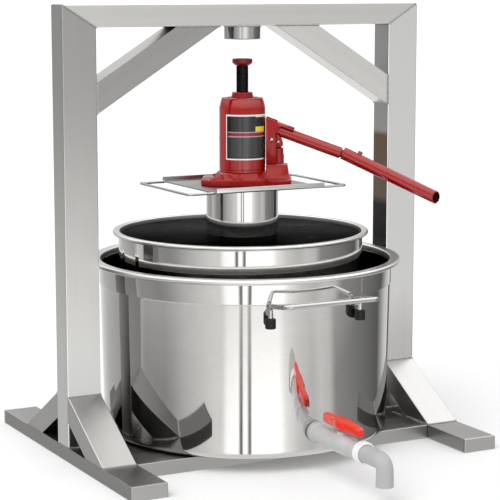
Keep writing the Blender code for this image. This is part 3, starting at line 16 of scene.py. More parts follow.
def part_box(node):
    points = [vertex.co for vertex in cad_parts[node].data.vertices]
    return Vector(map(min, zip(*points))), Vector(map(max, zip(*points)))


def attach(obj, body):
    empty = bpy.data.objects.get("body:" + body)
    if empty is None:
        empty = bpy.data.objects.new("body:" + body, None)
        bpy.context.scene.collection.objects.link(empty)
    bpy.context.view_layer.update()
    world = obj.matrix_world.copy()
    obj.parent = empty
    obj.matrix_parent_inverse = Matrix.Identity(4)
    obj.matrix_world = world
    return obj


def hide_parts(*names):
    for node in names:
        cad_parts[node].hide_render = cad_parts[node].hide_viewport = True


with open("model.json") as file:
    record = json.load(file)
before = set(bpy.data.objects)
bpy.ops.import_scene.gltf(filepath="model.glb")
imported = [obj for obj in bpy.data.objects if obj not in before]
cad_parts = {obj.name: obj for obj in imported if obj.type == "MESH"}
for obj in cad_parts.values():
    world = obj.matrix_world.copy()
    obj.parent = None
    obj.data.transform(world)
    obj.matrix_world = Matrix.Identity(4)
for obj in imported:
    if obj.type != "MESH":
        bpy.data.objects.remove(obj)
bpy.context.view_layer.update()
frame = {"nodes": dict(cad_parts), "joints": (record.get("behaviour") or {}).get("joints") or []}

bl_info = {
    "name": "Hydraulic Fruit Press",
    "version": (1, 0, 0),
    "blender": (4, 5, 0),
    "location": "3D View > Sidebar > Fruit Press",
    "description": "Finishes a packed fruit press: steel frame, pots, tap, press plate and bottle jack",
    "category": "Object",
}

MM = 0.001
AXIS = 1e-6
MERGE_DISTANCE = 0.00001
QUARTER = math.pi / 2
POT_STEPS = 240
ROUND_STEPS = 96
SMALL_STEPS = 48
SMOOTH_ANGLE = math.radians(32.0)
TRAY_SMOOTH_ANGLE = math.radians(50.0)


def middle(node):
    """The middle of a CAD node's box."""
    low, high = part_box(node)
    return (low + high) / 2


def measures(node):
    """A round CAD node's foot, top and radius."""
    low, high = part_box(node)
    return low.z, high.z, (high.x - low.x) / 2


def upright(node, level):
    """The place on a round CAD node's axis at a height."""
    centre = middle(node)
    return Matrix.Translation((centre.x, centre.y, level))


def joint_place(name):
    """Where a joint's axis runs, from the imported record."""
    return next(Vector(joint["pos_m"]) for joint in frame["joints"] if joint["name"] == name)


def ends(low, high, side):
    """The outer and the inner end of a range, on the low side (-1) or the high side (1)."""
    return (low, high) if side < 0 else (high, low)


# The jack's own frame stands on its foot, and its X runs towards the pump.
JACK_HEADING = math.atan2(joint_place("rocker_swing").y, joint_place("rocker_swing").x)
JACK = Matrix.Translation((0.0, 0.0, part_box("jack_base")[0].z)) @ Matrix.Rotation(JACK_HEADING, 4, "Z")
ROCKER_ANGLE = math.radians(20.0)
PIVOT = JACK.inverted() @ joint_place("rocker_swing")
ROCKER = JACK @ Matrix.Translation(PIVOT) @ Matrix.Rotation(ROCKER_ANGLE, 4, "Y")


def length(name, description, default, low, high):
    """A length for the panel, given in millimetres."""
    return FloatProperty(name=name, description=description, default=default * MM, min=low * MM,
                         max=high * MM, unit="LENGTH")


def tint(name, description, default):
    """A colour for the panel."""
    return FloatVectorProperty(name=name, description=description, subtype="COLOR", default=default,
                               min=0.0, max=1.0)


class FruitPressPots(bpy.types.PropertyGroup):
    """Sizes of the two pots' sheet and rims."""
    sheet: length("Sheet", "Thickness of the pots' steel sheet", 1.5, 0.5, 3.0)
    step: length("Step", "How far the juice pot's upper band stands out", 1.1, 0.0, 3.0)
    seam: length("Seam", "Width of the weld seam in the upper band", 1.6, 0.5, 4.0)
    drains: IntProperty(name="Drain holes", description="Drain holes in each of the two rows",
                        default=24, min=6, max=60)
    drain_radius: length("Drain radius", "Radius of one drain hole", 4.0, 1.0, 8.0)


class FruitPressDetails(bpy.types.PropertyGroup):
    """Sizes of welds, threads and grip ribs."""
    bead: length("Weld bead", "Radius of one ripple of a weld", 1.5, 0.5, 4.0)
    ripple: length("Weld ripple", "Distance between two ripples of a weld", 1.7, 0.5, 6.0)
    pitch: length("Thread pitch", "Pitch of the extension screw's thread", 4.0, 1.0, 8.0)
    ribs: IntProperty(name="Grip ribs", description="Ribs round the tap's collar", default=28, min=8, max=60)


class FruitPressColours(bpy.types.PropertyGroup):
    """Colours of paint, plastic and label."""
    enamel: tint("Enamel", "Red enamel of the jack", (0.34, 0.003, 0.003))
    lever: tint("Lever", "Plastic of the tap's lever", (0.74, 0.030, 0.010))
    tap: tint("Tap", "Plastic of the tap", (0.50, 0.50, 0.50))
    field: tint("Label field", "Dark field of the label", (0.010, 0.010, 0.010))
    lower_field: tint("Label lower field", "Grey field of the label", (0.030, 0.031, 0.034))
    stripe: tint("Label stripe", "Dark red stripe of the label", (0.22, 0.010, 0.020))
    patch: tint("Label patch", "Yellow patch of the label", (0.80, 0.62, 0.03))


class FruitPressStudio(bpy.types.PropertyGroup):
    """Floor and light."""
    floor: tint("Floor", "Colour of the floor", (0.92, 0.92, 0.92))
    fill: FloatProperty(name="Fill", description="Brightness of the even light from all round",
                        default=0.86, min=0.0, max=3.0)
    key: FloatProperty(name="Key", description="Strength of the soft light from the upper left",
                       default=1.3, min=0.0, max=10.0)


# Nodes and finishes

def set_inputs(tree, node, **inputs):
    """Set a node's inputs by name, or as input0 by place: a socket is linked and anything else is set."""
    for name, value in inputs.items():
        socket = node.inputs[int(name[5:]) if name.startswith("input") else name.replace("_", " ")]
        if isinstance(value, bpy.types.NodeSocket):
            tree.links.new(value, socket)
        else:
            socket.default_value = value
    return node


def add_node(tree, kind, settings=None, **inputs):
    """A node with its settings, which come before its inputs."""
    node = tree.nodes.new(kind)
    for name, value in (settings or {}).items():
        setattr(node, name, value)
    return set_inputs(tree, node, **inputs)


def math_node(tree, operation, *values):
    numbered = {"input" + str(index): value for index, value in enumerate(values)}
    return add_node(tree, "ShaderNodeMath", {"operation": operation}, **numbered).outputs[0]


def noise(tree, vector, scale, detail, **inputs):
    return add_node(tree, "ShaderNodeTexNoise", Vector=vector, Scale=scale, Detail=detail,
                    **inputs).outputs["Fac"]


def ranged(tree, value, low, high, first=0.0, last=1.0, kind="LINEAR"):
    """A value carried from one range to another."""
    return add_node(tree, "ShaderNodeMapRange", {"interpolation_type": kind}, Value=value, From_Min=low,
                    From_Max=high, To_Min=first, To_Max=last).outputs["Result"]


def mixed(tree, share, first, second):
    """A colour between two others."""
    return add_node(tree, "ShaderNodeMix", {"data_type": "RGBA"}, input0=share, input6=first,
                    input7=second).outputs[2]


def parts(tree, vector):
    return add_node(tree, "ShaderNodeSeparateXYZ", Vector=vector).outputs


def ramped(tree, share, stops):
    """A colour from a ramp of places and colours. The first two stops are there from the start."""
    ramp = add_node(tree, "ShaderNodeValToRGB", Fac=share)
    elements = ramp.color_ramp.elements
    for index, (place, colour) in enumerate(stops):
        if index < 2:
            stop = elements[index]
            stop.position = place
        else:
            stop = elements.new(place)
        stop.color = (*colour, 1.0)
    return ramp.outputs["Color"]


def new_group(name, kind, inputs, outputs):
    """A node group. An input is given by its default, or by its kind where it has none."""
    tree = bpy.data.node_groups.new(name, kind)
    for label, default in inputs.items():
        bare = isinstance(default, str)
        socket_kind = default if bare else "Int" if isinstance(default, int) else "Float"
        socket = tree.interface.new_socket(name=label, in_out="INPUT", socket_type="NodeSocket" + socket_kind)
        if not bare:
            socket.default_value = default
    for label in outputs:
        socket_kind = label if label == "Geometry" else "Float"
        tree.interface.new_socket(name=label, in_out="OUTPUT", socket_type="NodeSocket" + socket_kind)
    return tree, tree.nodes.new("NodeGroupInput").outputs, tree.nodes.new("NodeGroupOutput")


def shared(builder):
    """A node group that is built once, and named after its function."""
    return bpy.data.node_groups.get(builder.__name__) or builder(builder.__name__)


def place_group(tree, builder, **inputs):
    return add_node(tree, "ShaderNodeGroup", {"node_tree": shared(builder)}, **inputs).outputs


def brushed_grain(name):
    """Fine lines along X of the given vector, as left by a brushing belt."""
    tree, given, out = new_group(name, "ShaderNodeTree",
                                 {"Vector": "Vector", "Fineness": 900.0, "Rough": 0.3, "Spread": 0.1},
                                 ("Shade", "Roughness", "Height"))
    drawn = add_node(tree, "ShaderNodeVectorMath", {"operation": "MULTIPLY"},
                     input0=given["Vector"], input1=(0.012, 1.0, 1.0)).outputs[0]
    lines = noise(tree, drawn, given["Fineness"], 3.0, Roughness=0.65)
    broad = noise(tree, drawn, math_node(tree, "MULTIPLY", given["Fineness"], 0.08), 2.0)
    both = math_node(tree, "MULTIPLY_ADD", broad, 0.5, math_node(tree, "MULTIPLY", lines, 0.5))
    centred = math_node(tree, "SUBTRACT", both, 0.5)
    set_inputs(tree, out, Shade=math_node(tree, "MULTIPLY_ADD", both, 0.24, 0.88), Height=lines,
               Roughness=math_node(tree, "MULTIPLY_ADD", centred, given["Spread"], given["Rough"]))
    return tree


def handling_marks(name):
    """Large soft patches where hands and cloths have left a film."""
    tree, given, out = new_group(name, "ShaderNodeTree",
                                 {"Vector": "Vector", "Scale": 12.0, "Strength": 0.05}, ("Film",))
    patches = noise(tree, given["Vector"], given["Scale"], 4.0, Roughness=0.55, Distortion=0.6)
    spread = ranged(tree, patches, 0.45, 0.75)
    set_inputs(tree, out, Film=math_node(tree, "MULTIPLY", spread, given["Strength"]))
    return tree


def cast_skin(name):
    """The slightly uneven skin of enamel over a casting, or of moulded plastic."""
    tree, given, out = new_group(name, "ShaderNodeTree", {"Vector": "Vector", "Grain": 260.0, "Waves": 45.0},
                                 ("Height", "Shade"))
    grain = noise(tree, given["Vector"], given["Grain"], 2.0)
    waves = noise(tree, given["Vector"], given["Waves"], 3.0)
    set_inputs(tree, out, Height=math_node(tree, "MULTIPLY_ADD", waves, 2.0, grain),
               Shade=math_node(tree, "MULTIPLY_ADD", waves, 0.22, 0.89))
    return tree


def band_mask(name):
    """One where a value lies between two others, and nought elsewhere."""
    tree, given, out = new_group(name, "ShaderNodeTree", {"Value": 0.0, "Low": 0.0, "High": 1.0}, ("Mask",))
    above = math_node(tree, "GREATER_THAN", given["Value"], given["Low"])
    below = math_node(tree, "LESS_THAN", given["Value"], given["High"])
    set_inputs(tree, out, Mask=math_node(tree, "MULTIPLY", above, below))
    return tree


def new_finish(name):
    """A material with its tree, its shader and the object's own coordinates."""
    finish = bpy.data.materials.new(name)
    finish.use_nodes = True
    tree = finish.node_tree
    return finish, tree, tree.nodes["Principled BSDF"], tree.nodes.new("ShaderNodeTexCoord").outputs["Object"]


def tinted(tree, colour, shade):
    """A colour made lighter and darker by a shade."""
    return add_node(tree, "ShaderNodeVectorMath", {"operation": "SCALE"}, input0=colour,
                    Scale=shade).outputs[0]


def bumped(tree, height, strength, distance, rounding=None):
    """The direction of a surface with relief, over rounded edges where a rounding is given."""
    bump = add_node(tree, "ShaderNodeBump", Height=height, Strength=strength, Distance=distance)
    if rounding:
        edges = add_node(tree, "ShaderNodeBevel", {"samples": 6}, Radius=rounding)
        set_inputs(tree, bump, Normal=edges.outputs["Normal"])
    return bump.outputs["Normal"]


def lit_shade(tree, where, shade, painted_fade, painted_reflection_shade):
    """Painted light and shade: a painted gradient along an axis of the piece, and painted darkening where
    another surface mirrors it.
    """
    if painted_fade:
        axis, start, end, first, last = painted_fade
        ramp = ranged(tree, parts(tree, where)[axis], start, end, first, last, "SMOOTHSTEP")
        shade = math_node(tree, "MULTIPLY", shade, ramp)
    if painted_reflection_shade < 1.0:
        seen_in = add_node(tree, "ShaderNodeLightPath").outputs["Is Glossy Ray"]
        dimmed = math_node(tree, "MULTIPLY_ADD", seen_in, painted_reflection_shade - 1.0, 1.0)
        shade = math_node(tree, "MULTIPLY", shade, dimmed)
    return shade


def brushed_steel(name, colour, rough, turn=(0.0, 0.0, 0.0), fineness=900.0, relief=0.12, film=0.06,
                  spread=0.16, painted_fade=None, painted_reflection_shade=1.0, edge=1.0):
    """Steel with fine parallel lines. turn lays the lines along the piece.

    fade is an axis, two places on it and the painted shade at each, a painted gradient of light. mirrored is
    a painted shade in reflections only, and edge is how bright the steel is at a grazing angle.
    """
    finish, tree, shader, where = new_finish(name)
    turned_place = add_node(tree, "ShaderNodeMapping", {"vector_type": "TEXTURE"}, Vector=where,
                            Rotation=turn).outputs[0]
    grain = place_group(tree, brushed_grain, Vector=turned_place, Fineness=fineness, Rough=rough,
                        Spread=spread)
    marks = place_group(tree, handling_marks, Vector=where, Scale=9.0, Strength=film)
    # Painted light and shade: a painted gradient along the piece, and painted darkening in reflections.
    shade = lit_shade(tree, where, grain["Shade"], painted_fade, painted_reflection_shade)
    set_inputs(tree, shader, Base_Color=tinted(tree, colour, shade), Metallic=1.0,
               Roughness=math_node(tree, "ADD", grain["Roughness"], marks["Film"]),
               Specular_Tint=(edge, edge, edge, 1.0),
               Normal=bumped(tree, grain["Height"], relief, 0.2 * MM))
    return finish


STEEL_COLOUR = (0.72, 0.71, 0.695)
ALONG_Y = (0.0, 0.0, QUARTER)
ALONG_Z = (0.0, -QUARTER, 0.0)
UPPER_SLOPE = math.radians(31.9)
LOWER_SLOPE = math.radians(30.8)


def tube_steel(name, shade, turn=(0.0, 0.0, 0.0), painted_fade=None):
    """Satin steel of the frame's tubes, with a painted light and shade for each tube, painted darker in
    reflections.
    """
    colour = tuple(part * shade for part in STEEL_COLOUR)
    return brushed_steel(name, colour, 0.30, turn, painted_fade=painted_fade, painted_reflection_shade=0.3)


# The right post's inner side, and the heights between which a painted reflection of a dark room lies on it
POST_INNER_SIDE = (0.2240, 0.2249)
PAINTED_ROOM_HEIGHTS = (0.25, 0.45)
PAINTED_ROOM_STOPS = ((0.0, (0.02, 0.02, 0.02)), (0.88, (0.55, 0.545, 0.54)), (0.34, (0.05, 0.045, 0.04)),
              (0.40, (0.26, 0.20, 0.16)), (0.84, (0.24, 0.17, 0.12)))


def post_steel(name):
    """The right post's steel with painted light up it, and a painted reflection of a dark room on its inner
    side.
    """
    # Painted light on the right post, with a painted gradient of light up it.
    finish = tube_steel(name, 1.3, ALONG_Z, (2, 0.10, 0.22, 0.85, 1.12))
    tree = finish.node_tree
    shader = tree.nodes["Principled BSDF"]
    lit = shader.inputs["Base Color"].links[0].from_socket
    across, _, up = parts(tree, tree.nodes["Texture Coordinate"].outputs["Object"])
    low, high = POST_INNER_SIDE
    inner = place_group(tree, band_mask, Value=across, Low=low, High=high)["Mask"]
    # A painted reflection: dark and brown bands up the post's inner side.
    room = ramped(tree, ranged(tree, up, *PAINTED_ROOM_HEIGHTS), PAINTED_ROOM_STOPS)
    set_inputs(tree, shader, Base_Color=mixed(tree, inner, lit, room))
    return finish


def panel_colour(name):
    return tuple(getattr(bpy.context.scene.fruit_press_colours, name))


def painted(name, colour, rough, coat, grain=600.0, waves=45.0, relief=0.1, rounding=None, gloss=1.5,
            shade=1.0):
    """Enamel or plastic: a colour with a slightly uneven skin, and a clear coat where it is glossy.

    The colour may be the name of one on the panel, and gloss is the index of refraction of the coat.
    """
    if isinstance(colour, str):
        colour = tuple(shade * part for part in panel_colour(colour))
    finish, tree, shader, where = new_finish(name)
    skin = place_group(tree, cast_skin, Vector=where, Grain=grain, Waves=waves)
    marks = place_group(tree, handling_marks, Vector=where, Scale=22.0, Strength=0.05)
    set_inputs(tree, shader, Base_Color=tinted(tree, colour, skin["Shade"]),
               Roughness=math_node(tree, "ADD", marks["Film"], rough), Coat_Weight=coat, Coat_Roughness=0.04,
               Coat_IOR=gloss, Specular_IOR_Level=0.0 if gloss > 1.5 else 0.3,
               Normal=bumped(tree, skin["Height"], relief, 0.3 * MM, rounding))
    return finish


def label_print(name):
    """The jack's label: a pale border round dark fields with stripes and patches, and no words."""
    finish, tree, shader, where = new_finish(name)
    across, up, _ = parts(tree, tree.nodes["Texture Coordinate"].outputs["UV"])
    pale_line = (0.52, 0.30, 0.32)
    layers = [
        (0.020, 0.985, 0.030, 0.965, (0.013, 0.013, 0.014)),
        (0.050, 0.960, 0.600, 0.940, panel_colour("field")),
        (0.050, 0.960, 0.060, 0.500, panel_colour("lower_field")),
        (0.050, 0.960, 0.530, 0.600, panel_colour("stripe")),
        (0.050, 0.960, 0.505, 0.528, pale_line),
        (0.050, 0.960, 0.602, 0.622, pale_line),
        (0.560, 0.800, 0.625, 0.735, panel_colour("patch")),
        (0.560, 0.960, 0.945, 0.990, (0.78, 0.74, 0.50)),
    ]
    paper = (0.86, 0.85, 0.83, 1.0)
    for left, right, foot, top, colour in layers:
        beside = place_group(tree, band_mask, Value=across, Low=left, High=right)["Mask"]
        level = place_group(tree, band_mask, Value=up, Low=foot, High=top)["Mask"]
        paper = mixed(tree, math_node(tree, "MULTIPLY", beside, level), paper, (*colour, 1.0))
    fibre = noise(tree, where, 700.0, 2.0)
    set_inputs(tree, shader, Base_Color=paper, Roughness=math_node(tree, "MULTIPLY_ADD", fibre, 0.1, 0.16),
               Coat_Weight=0.6, Coat_Roughness=0.05, Normal=bumped(tree, fibre, 0.05, 0.1 * MM))
    return finish


def floor_paint(name, colour):
    """A matt pale floor with a faint unevenness."""
    finish, tree, shader, where = new_finish(name)
    shade = math_node(tree, "MULTIPLY_ADD", noise(tree, where, 3.0, 2.0), 0.02, 0.99)
    set_inputs(tree, shader, Base_Color=tinted(tree, colour, shade), Roughness=0.9, Specular_IOR_Level=0.0)
    return finish


# Painted light and shade on each frame tube: shade makes lit and shaded copies of one satin steel, turn lays
# the grain, and a fade is a painted gradient of light along the tube.
TUBES = {
    "beam_steel": dict(shade=1.28),
    "member_steel": dict(shade=0.9),
    "base_steel": dict(shade=0.75),
    "foot_steel": dict(shade=0.62, turn=ALONG_Y),
    "cap_steel": dict(shade=0.85),
    "left_post_steel": dict(shade=1.0, turn=ALONG_Z, painted_fade=(2, 0.10, 0.56, 1.42, 0.78)),
    "upper_brace_left": dict(shade=0.74, turn=(0.0, -UPPER_SLOPE, 0.0)),
    "upper_brace_right": dict(shade=1.36, turn=(0.0, UPPER_SLOPE, 0.0)),
    "lower_brace_front": dict(shade=0.9, turn=(0.0, -LOWER_SLOPE, QUARTER)),
    "lower_brace_rear": dict(shade=0.9, turn=(0.0, LOWER_SLOPE, QUARTER)),
}
STEELS = {
    # The tray's top is painted darker and its front flange lighter: painted shade and painted light on one
    # sheet steel, darker still in reflections.
    "sheet_steel": dict(colour=(0.42, 0.415, 0.41), rough=0.24, fineness=700.0, painted_reflection_shade=0.5),
    "flange_steel": dict(colour=(0.92, 0.91, 0.90), rough=0.32, relief=0.05),
    "pot_steel": dict(colour=(0.78, 0.77, 0.755), rough=0.045, fineness=500.0, relief=0.008, film=0.02,
                      spread=0.03),
    # The rolled rims' steel is lighter than the pot's: a painted highlight along the rims.
    "rim_steel": dict(colour=(0.90, 0.89, 0.88), rough=0.30, fineness=500.0, relief=0.03, film=0.03,
                      spread=0.05),
    # The pots' inside: the pot's steel painted darker as painted shade, with a painted gradient of light from
    # front to back, and dimmed at grazing angles.
    "pot_inside": dict(colour=(0.26, 0.255, 0.25), rough=0.22, fineness=500.0, relief=0.05, edge=0.15,
                       painted_fade=(1, -0.150, -0.040, 2.0, 0.12)),
    # The press plate's steel is painted nearly black and dim at grazing angles: painted shade and a painted
    # dark reflection inside the pot.
    "plate_steel": dict(colour=(0.035, 0.034, 0.033), rough=0.24, fineness=600.0, relief=0.05, edge=0.12),
    "column_steel": dict(colour=(0.72, 0.71, 0.70), rough=0.05, turn=ALONG_Z, fineness=500.0, relief=0.015,
                         film=0.02, spread=0.04),
    "ring_steel": dict(colour=(0.52, 0.515, 0.51), rough=0.14, turn=ALONG_Z, fineness=600.0, relief=0.03),
    "bright_rod": dict(colour=(0.62, 0.615, 0.605), rough=0.12, fineness=800.0, relief=0.03, film=0.04,
                       spread=0.06),
    "weld_steel": dict(colour=(0.46, 0.45, 0.43), rough=0.30, fineness=600.0, relief=0.3),
    # The handle tube's bore is painted near black: painted shade inside the tube.
    "bore_dark": dict(colour=(0.020, 0.008, 0.008), rough=0.5, edge=0.1),
    "screw_black": dict(colour=(0.018, 0.018, 0.019), rough=0.30, relief=0.15, edge=0.3),
}
CASTING = dict(rough=0.25, coat=0.35, grain=420.0, waves=95.0, relief=0.30)
PAINTS = {
    "tank_enamel": dict(colour="enamel", rough=0.3, coat=1.0, grain=260.0, waves=60.0, relief=0.05,
                        gloss=1.7),
    "cast_enamel": dict(CASTING, colour="enamel", rounding=0.9 * MM),
    "dark_enamel": dict(CASTING, colour=(0.16, 0.003, 0.003), rounding=0.6 * MM),
    "cap_rubber": dict(colour=(0.012, 0.012, 0.012), rough=0.42, coat=0.0, grain=900.0, relief=0.2),
    "seal_rubber": dict(colour=(0.30, 0.30, 0.29), rough=0.5, coat=0.0, grain=900.0, relief=0.2),
    "tap_plastic": dict(colour="tap", rough=0.28, coat=0.25, relief=0.12, rounding=0.5 * MM),
    "spout_plastic": dict(colour="tap", rough=0.4, coat=0.1, relief=0.15, shade=0.86),
    "collar_plastic": dict(colour=(0.84, 0.84, 0.84), rough=0.25, coat=0.3),
    "lever_plastic": dict(colour="lever", rough=0.20, coat=0.5, rounding=0.8 * MM),
}
FINISHES = {"right_post_steel": post_steel, "label_print": label_print}
for make, looks in ((tube_steel, TUBES), (brushed_steel, STEELS), (painted, PAINTS)):
    FINISHES.update({name: partial(make, **look) for name, look in looks.items()})


def finish_named(name):
    """A finish from the list above, built the first time it is asked for."""
    return bpy.data.materials.get(name) or FINISHES[name](name)


# Meshes

def smooth(mesh, angle=SMOOTH_ANGLE):
    """Shade a mesh smooth but for its sharp edges."""
    mesh.shade_smooth()
    mesh.set_sharp_from_angle(angle=angle)
    return mesh


def as_mesh(shape, name):
    """A finished mesh, with its faces outwards where it was still under construction."""
    if isinstance(shape, bpy.types.Mesh):
        return shape
    bmesh.ops.recalc_face_normals(shape, faces=shape.faces)
    mesh = bpy.data.meshes.new(name)
    shape.to_mesh(mesh)
    shape.free()
    return smooth(mesh)


def link(name, data):
    """Put an object in the scene."""
    placed = bpy.data.objects.new(name, data)
    bpy.context.scene.collection.objects.link(placed)
    return placed


def add_piece(name, shape, finish, body, slot, *nodes):
    """Put a shape in the scene as a piece that rides on a body and stands for CAD nodes."""
    mesh = as_mesh(shape, name)
    piece = link(name, mesh)
    mesh.materials.clear()
    mesh.materials.append(finish_named(finish))
    if nodes:
        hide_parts(*nodes)
    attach(piece, body)
    return piece


def split_finish(piece, finish, chosen):
    """Give the faces that a test picks by their middle and direction another finish."""
    piece.data.materials.append(finish_named(finish))
    for face in piece.data.polygons:
        if chosen(face.center, face.normal):
            face.material_index = 1


def dress(finish, *nodes):
    """Give CAD nodes a finish."""
    for name in nodes:
        materials = frame["nodes"][name].data.materials
        materials.clear()
        materials.append(finish_named(finish))


def add_copies(*rows):
    """Pieces with the forms of CAD nodes, merged so that they can be shaded smooth."""
    for name, finish, body, slot, node in rows:
        build = bmesh.new()
        build.from_mesh(frame["nodes"][node].data)
        bmesh.ops.remove_doubles(build, verts=build.verts, dist=MERGE_DISTANCE)
        add_piece(name, build, finish, body, slot, node)


def near(place, height, *offsets):
    """Points of a profile beside a place and a height, by their offsets in millimetres."""
    return [(place + across * MM, height + up * MM) for across, up in offsets]


def arc(centre, radius, start, end, steps=8):
    """Points on an arc in a profile, from one angle in degrees to another."""
    angles = [math.radians(start + (end - start) * step / steps) for step in range(steps + 1)]
    return [(centre[0] + radius * math.cos(angle), centre[1] + radius * math.sin(angle)) for angle in angles]


def sleeve(bore, outer, foot, top, edge):
    """The closed profile of a tube whose outer edges are broken."""
    return [(bore, foot), (bore, top), (outer - edge, top), (outer, top - edge), (outer, foot + edge),
            (outer - edge, foot)]


def circle(steps):
    """The cosine and the sine of even steps round a circle."""
    angles = [2 * math.pi * step / steps for step in range(steps)]
    return [(math.cos(angle), math.sin(angle)) for angle in angles]


def bridge(build, first, second):
    """Faces between two rings of corners, either of which may be one point."""
    for step in range(max(len(first), len(second))):
        corners = []
        for ring, offset in ((first, 0), (first, 1), (second, 1), (second, 0)):
            corner = ring[(step + offset) % len(ring)]
            if corner not in corners:
                corners.append(corner)
        if len(corners) > 2:
            build.faces.new(corners)


def add_turned(build, profile, steps, place=Matrix(), ring=False):
    """Add a turned form: a profile of radii and heights round Z, then put in its place."""
    rings = []
    for radius, height in profile:
        spots = circle(steps) if radius >= AXIS else [(0.0, 0.0)]
        rings.append([build.verts.new(place @ Vector((radius * cosine, radius * sine, height)))
                      for cosine, sine in spots])
    for first, second in zip(rings, rings[1:] + rings[:1] if ring else rings[1:]):
        bridge(build, first, second)
    return build


def turned(profile, steps=ROUND_STEPS, place=Matrix(), ring=False):
    return add_turned(bmesh.new(), profile, steps, place, ring)


def solid_rod(radius, foot, top, steps, place):
    """A plain round rod along Z, then put in its place."""
    return turned([(0.0, foot), (radius, foot), (radius, top), (0.0, top)], steps, place)


def rounded_path(corners, radius, steps=10):
    """Points along straight runs whose corners are rounded by arcs."""
    corners = [Vector(corner) for corner in corners]
    points = [corners[0]]
    for before, corner, after in zip(corners, corners[1:], corners[2:]):
        back = (before - corner).normalized()
        onward = (after - corner).normalized()
        half = back.angle(onward) / 2
        reach = radius / math.tan(half)
        centre = corner + (back + onward).normalized() * radius / math.sin(half)
        start, end = corner + back * reach - centre, corner + onward * reach - centre
        sweep, axis = start.angle(end), start.cross(end).normalized()
        points += [centre + Matrix.Rotation(sweep * step / steps, 3, axis) @ start
                   for step in range(steps + 1)]
    return points + [corners[-1]]


def add_pipe(build, points, radii, steps, bore=None):
    """Add a round pipe or rod along points. radii is one radius or one for each point, bore the hole's."""
    points = [Vector(point) for point in points]
    if isinstance(radii, float):
        radii = [radii] * len(points)
    tangents = [(points[min(index + 1, len(points) - 1)] - points[max(index - 1, 0)]).normalized()
                for index in range(len(points))]
    side = tangents[0].orthogonal().normalized()
    outer, inner = [], []
    for point, tangent, radius in zip(points, tangents, radii):
        side = (side - tangent * side.dot(tangent)).normalized()
        up = tangent.cross(side)
        for rings, reach in ((outer, radius), (inner, bore)):
            if reach is not None:
                rings.append([build.verts.new(point + (side * cosine + up * sine) * reach)
                              for cosine, sine in circle(steps)])
    for rings in (outer, inner):
        for first, second in zip(rings, rings[1:]):
            bridge(build, first, second)
    for end in (0, -1):
        if bore is None:
            build.faces.new(outer[end])
        else:
            bridge(build, outer[end], inner[end])
    return build


def add_box(build, low, high, place=Matrix()):
    low, high = Vector(low), Vector(high)
    shape = place @ Matrix.Translation((low + high) / 2) @ Matrix.Diagonal((*(high - low), 1.0))
    bmesh.ops.create_cube(build, size=1.0, matrix=shape)


def lofted(rings):
    """A closed form over rings of points that have the same count."""
    build = bmesh.new()
    rings = [[build.verts.new(point) for point in ring] for ring in rings]
    for first, second in zip(rings, rings[1:]):
        bridge(build, first, second)
    build.faces.new(rings[0])
    build.faces.new(rings[-1])
    return build


def evaluated(holder, name, angle=SMOOTH_ANGLE):
    """The plain mesh of an object with modifiers. The object is removed."""
    bpy.context.view_layer.update()
    graph = bpy.context.evaluated_depsgraph_get()
    mesh = bpy.data.meshes.new_from_object(holder.evaluated_get(graph))
    mesh.name = name
    bpy.data.objects.remove(holder, do_unlink=True)
    return smooth(mesh, angle)


def hold(name, shape):
    return link(name + "_holder", as_mesh(shape, name))


def modified(name, shape, kind, angle=SMOOTH_ANGLE, **settings):
    """A shape's mesh after one modifier."""
    holder = hold(name, shape)
    modifier = holder.modifiers.new(name, kind)
    for setting, value in settings.items():
        setattr(modifier, setting, value)
    return evaluated(holder, name, angle)


def cut_by(name, shape, cutter_shape):
    """Cut one shape by another."""
    cutter = hold(name + "_cutter", cutter_shape)
    cut = modified(name, shape, "BOOLEAN", operation="DIFFERENCE", solver="EXACT", object=cutter)
    bpy.data.objects.remove(cutter, do_unlink=True)
    return cut


# Geometry Nodes

def made_by_nodes(name, source, builder, finish, **inputs):
    """Run a geometry tree on a shape with named inputs, and keep the result as a plain mesh."""
    tree = shared(builder)
    holder = hold(name, source)
    modifier = holder.modifiers.new(name, "NODES")
    modifier.node_group = tree
    sockets = {item.name: item.identifier for item in tree.interface.items_tree if item.in_out == "INPUT"}
    for label, value in inputs.items():
        modifier[sockets[label]] = value
    modifier[sockets["Finish"]] = finish_named(finish)
    return evaluated(holder, name)


def new_geometry(name, **inputs):
    return new_group(name, "GeometryNodeTree", {"Geometry": "Geometry", **inputs, "Finish": "Material"},
                     ("Geometry",))


def end_tree(tree, given, out, instances):
    """Every tree ends in real faces with their finish."""
    real = add_node(tree, "GeometryNodeRealizeInstances", Geometry=instances).outputs[0]
    dressed = add_node(tree, "GeometryNodeSetMaterial", Geometry=real, Material=given["Finish"])
    set_inputs(tree, out, Geometry=dressed.outputs[0])
    return tree


def weld_bead(name):
    """Ripples of weld metal along the edges of a mesh."""
    tree, given, out = new_geometry(name, Bead=1.5 * MM, Ripple=1.7 * MM, Seed=4)
    path = add_node(tree, "GeometryNodeMeshToCurve", Mesh=given["Geometry"]).outputs[0]
    spaced = add_node(tree, "GeometryNodeResampleCurve", {"mode": "LENGTH"}, Curve=path,
                      Length=given["Ripple"]).outputs[0]
    drop = add_node(tree, "GeometryNodeMeshUVSphere", Segments=7, Rings=4, Radius=given["Bead"]).outputs[0]
    size = add_node(tree, "FunctionNodeRandomValue", {"data_type": "FLOAT"}, Seed=given["Seed"], input2=0.8,
                    input3=1.15).outputs[1]
    beads = add_node(tree, "GeometryNodeInstanceOnPoints", Points=spaced, Instance=drop, Scale=size)
    return end_tree(tree, given, out, beads.outputs[0])


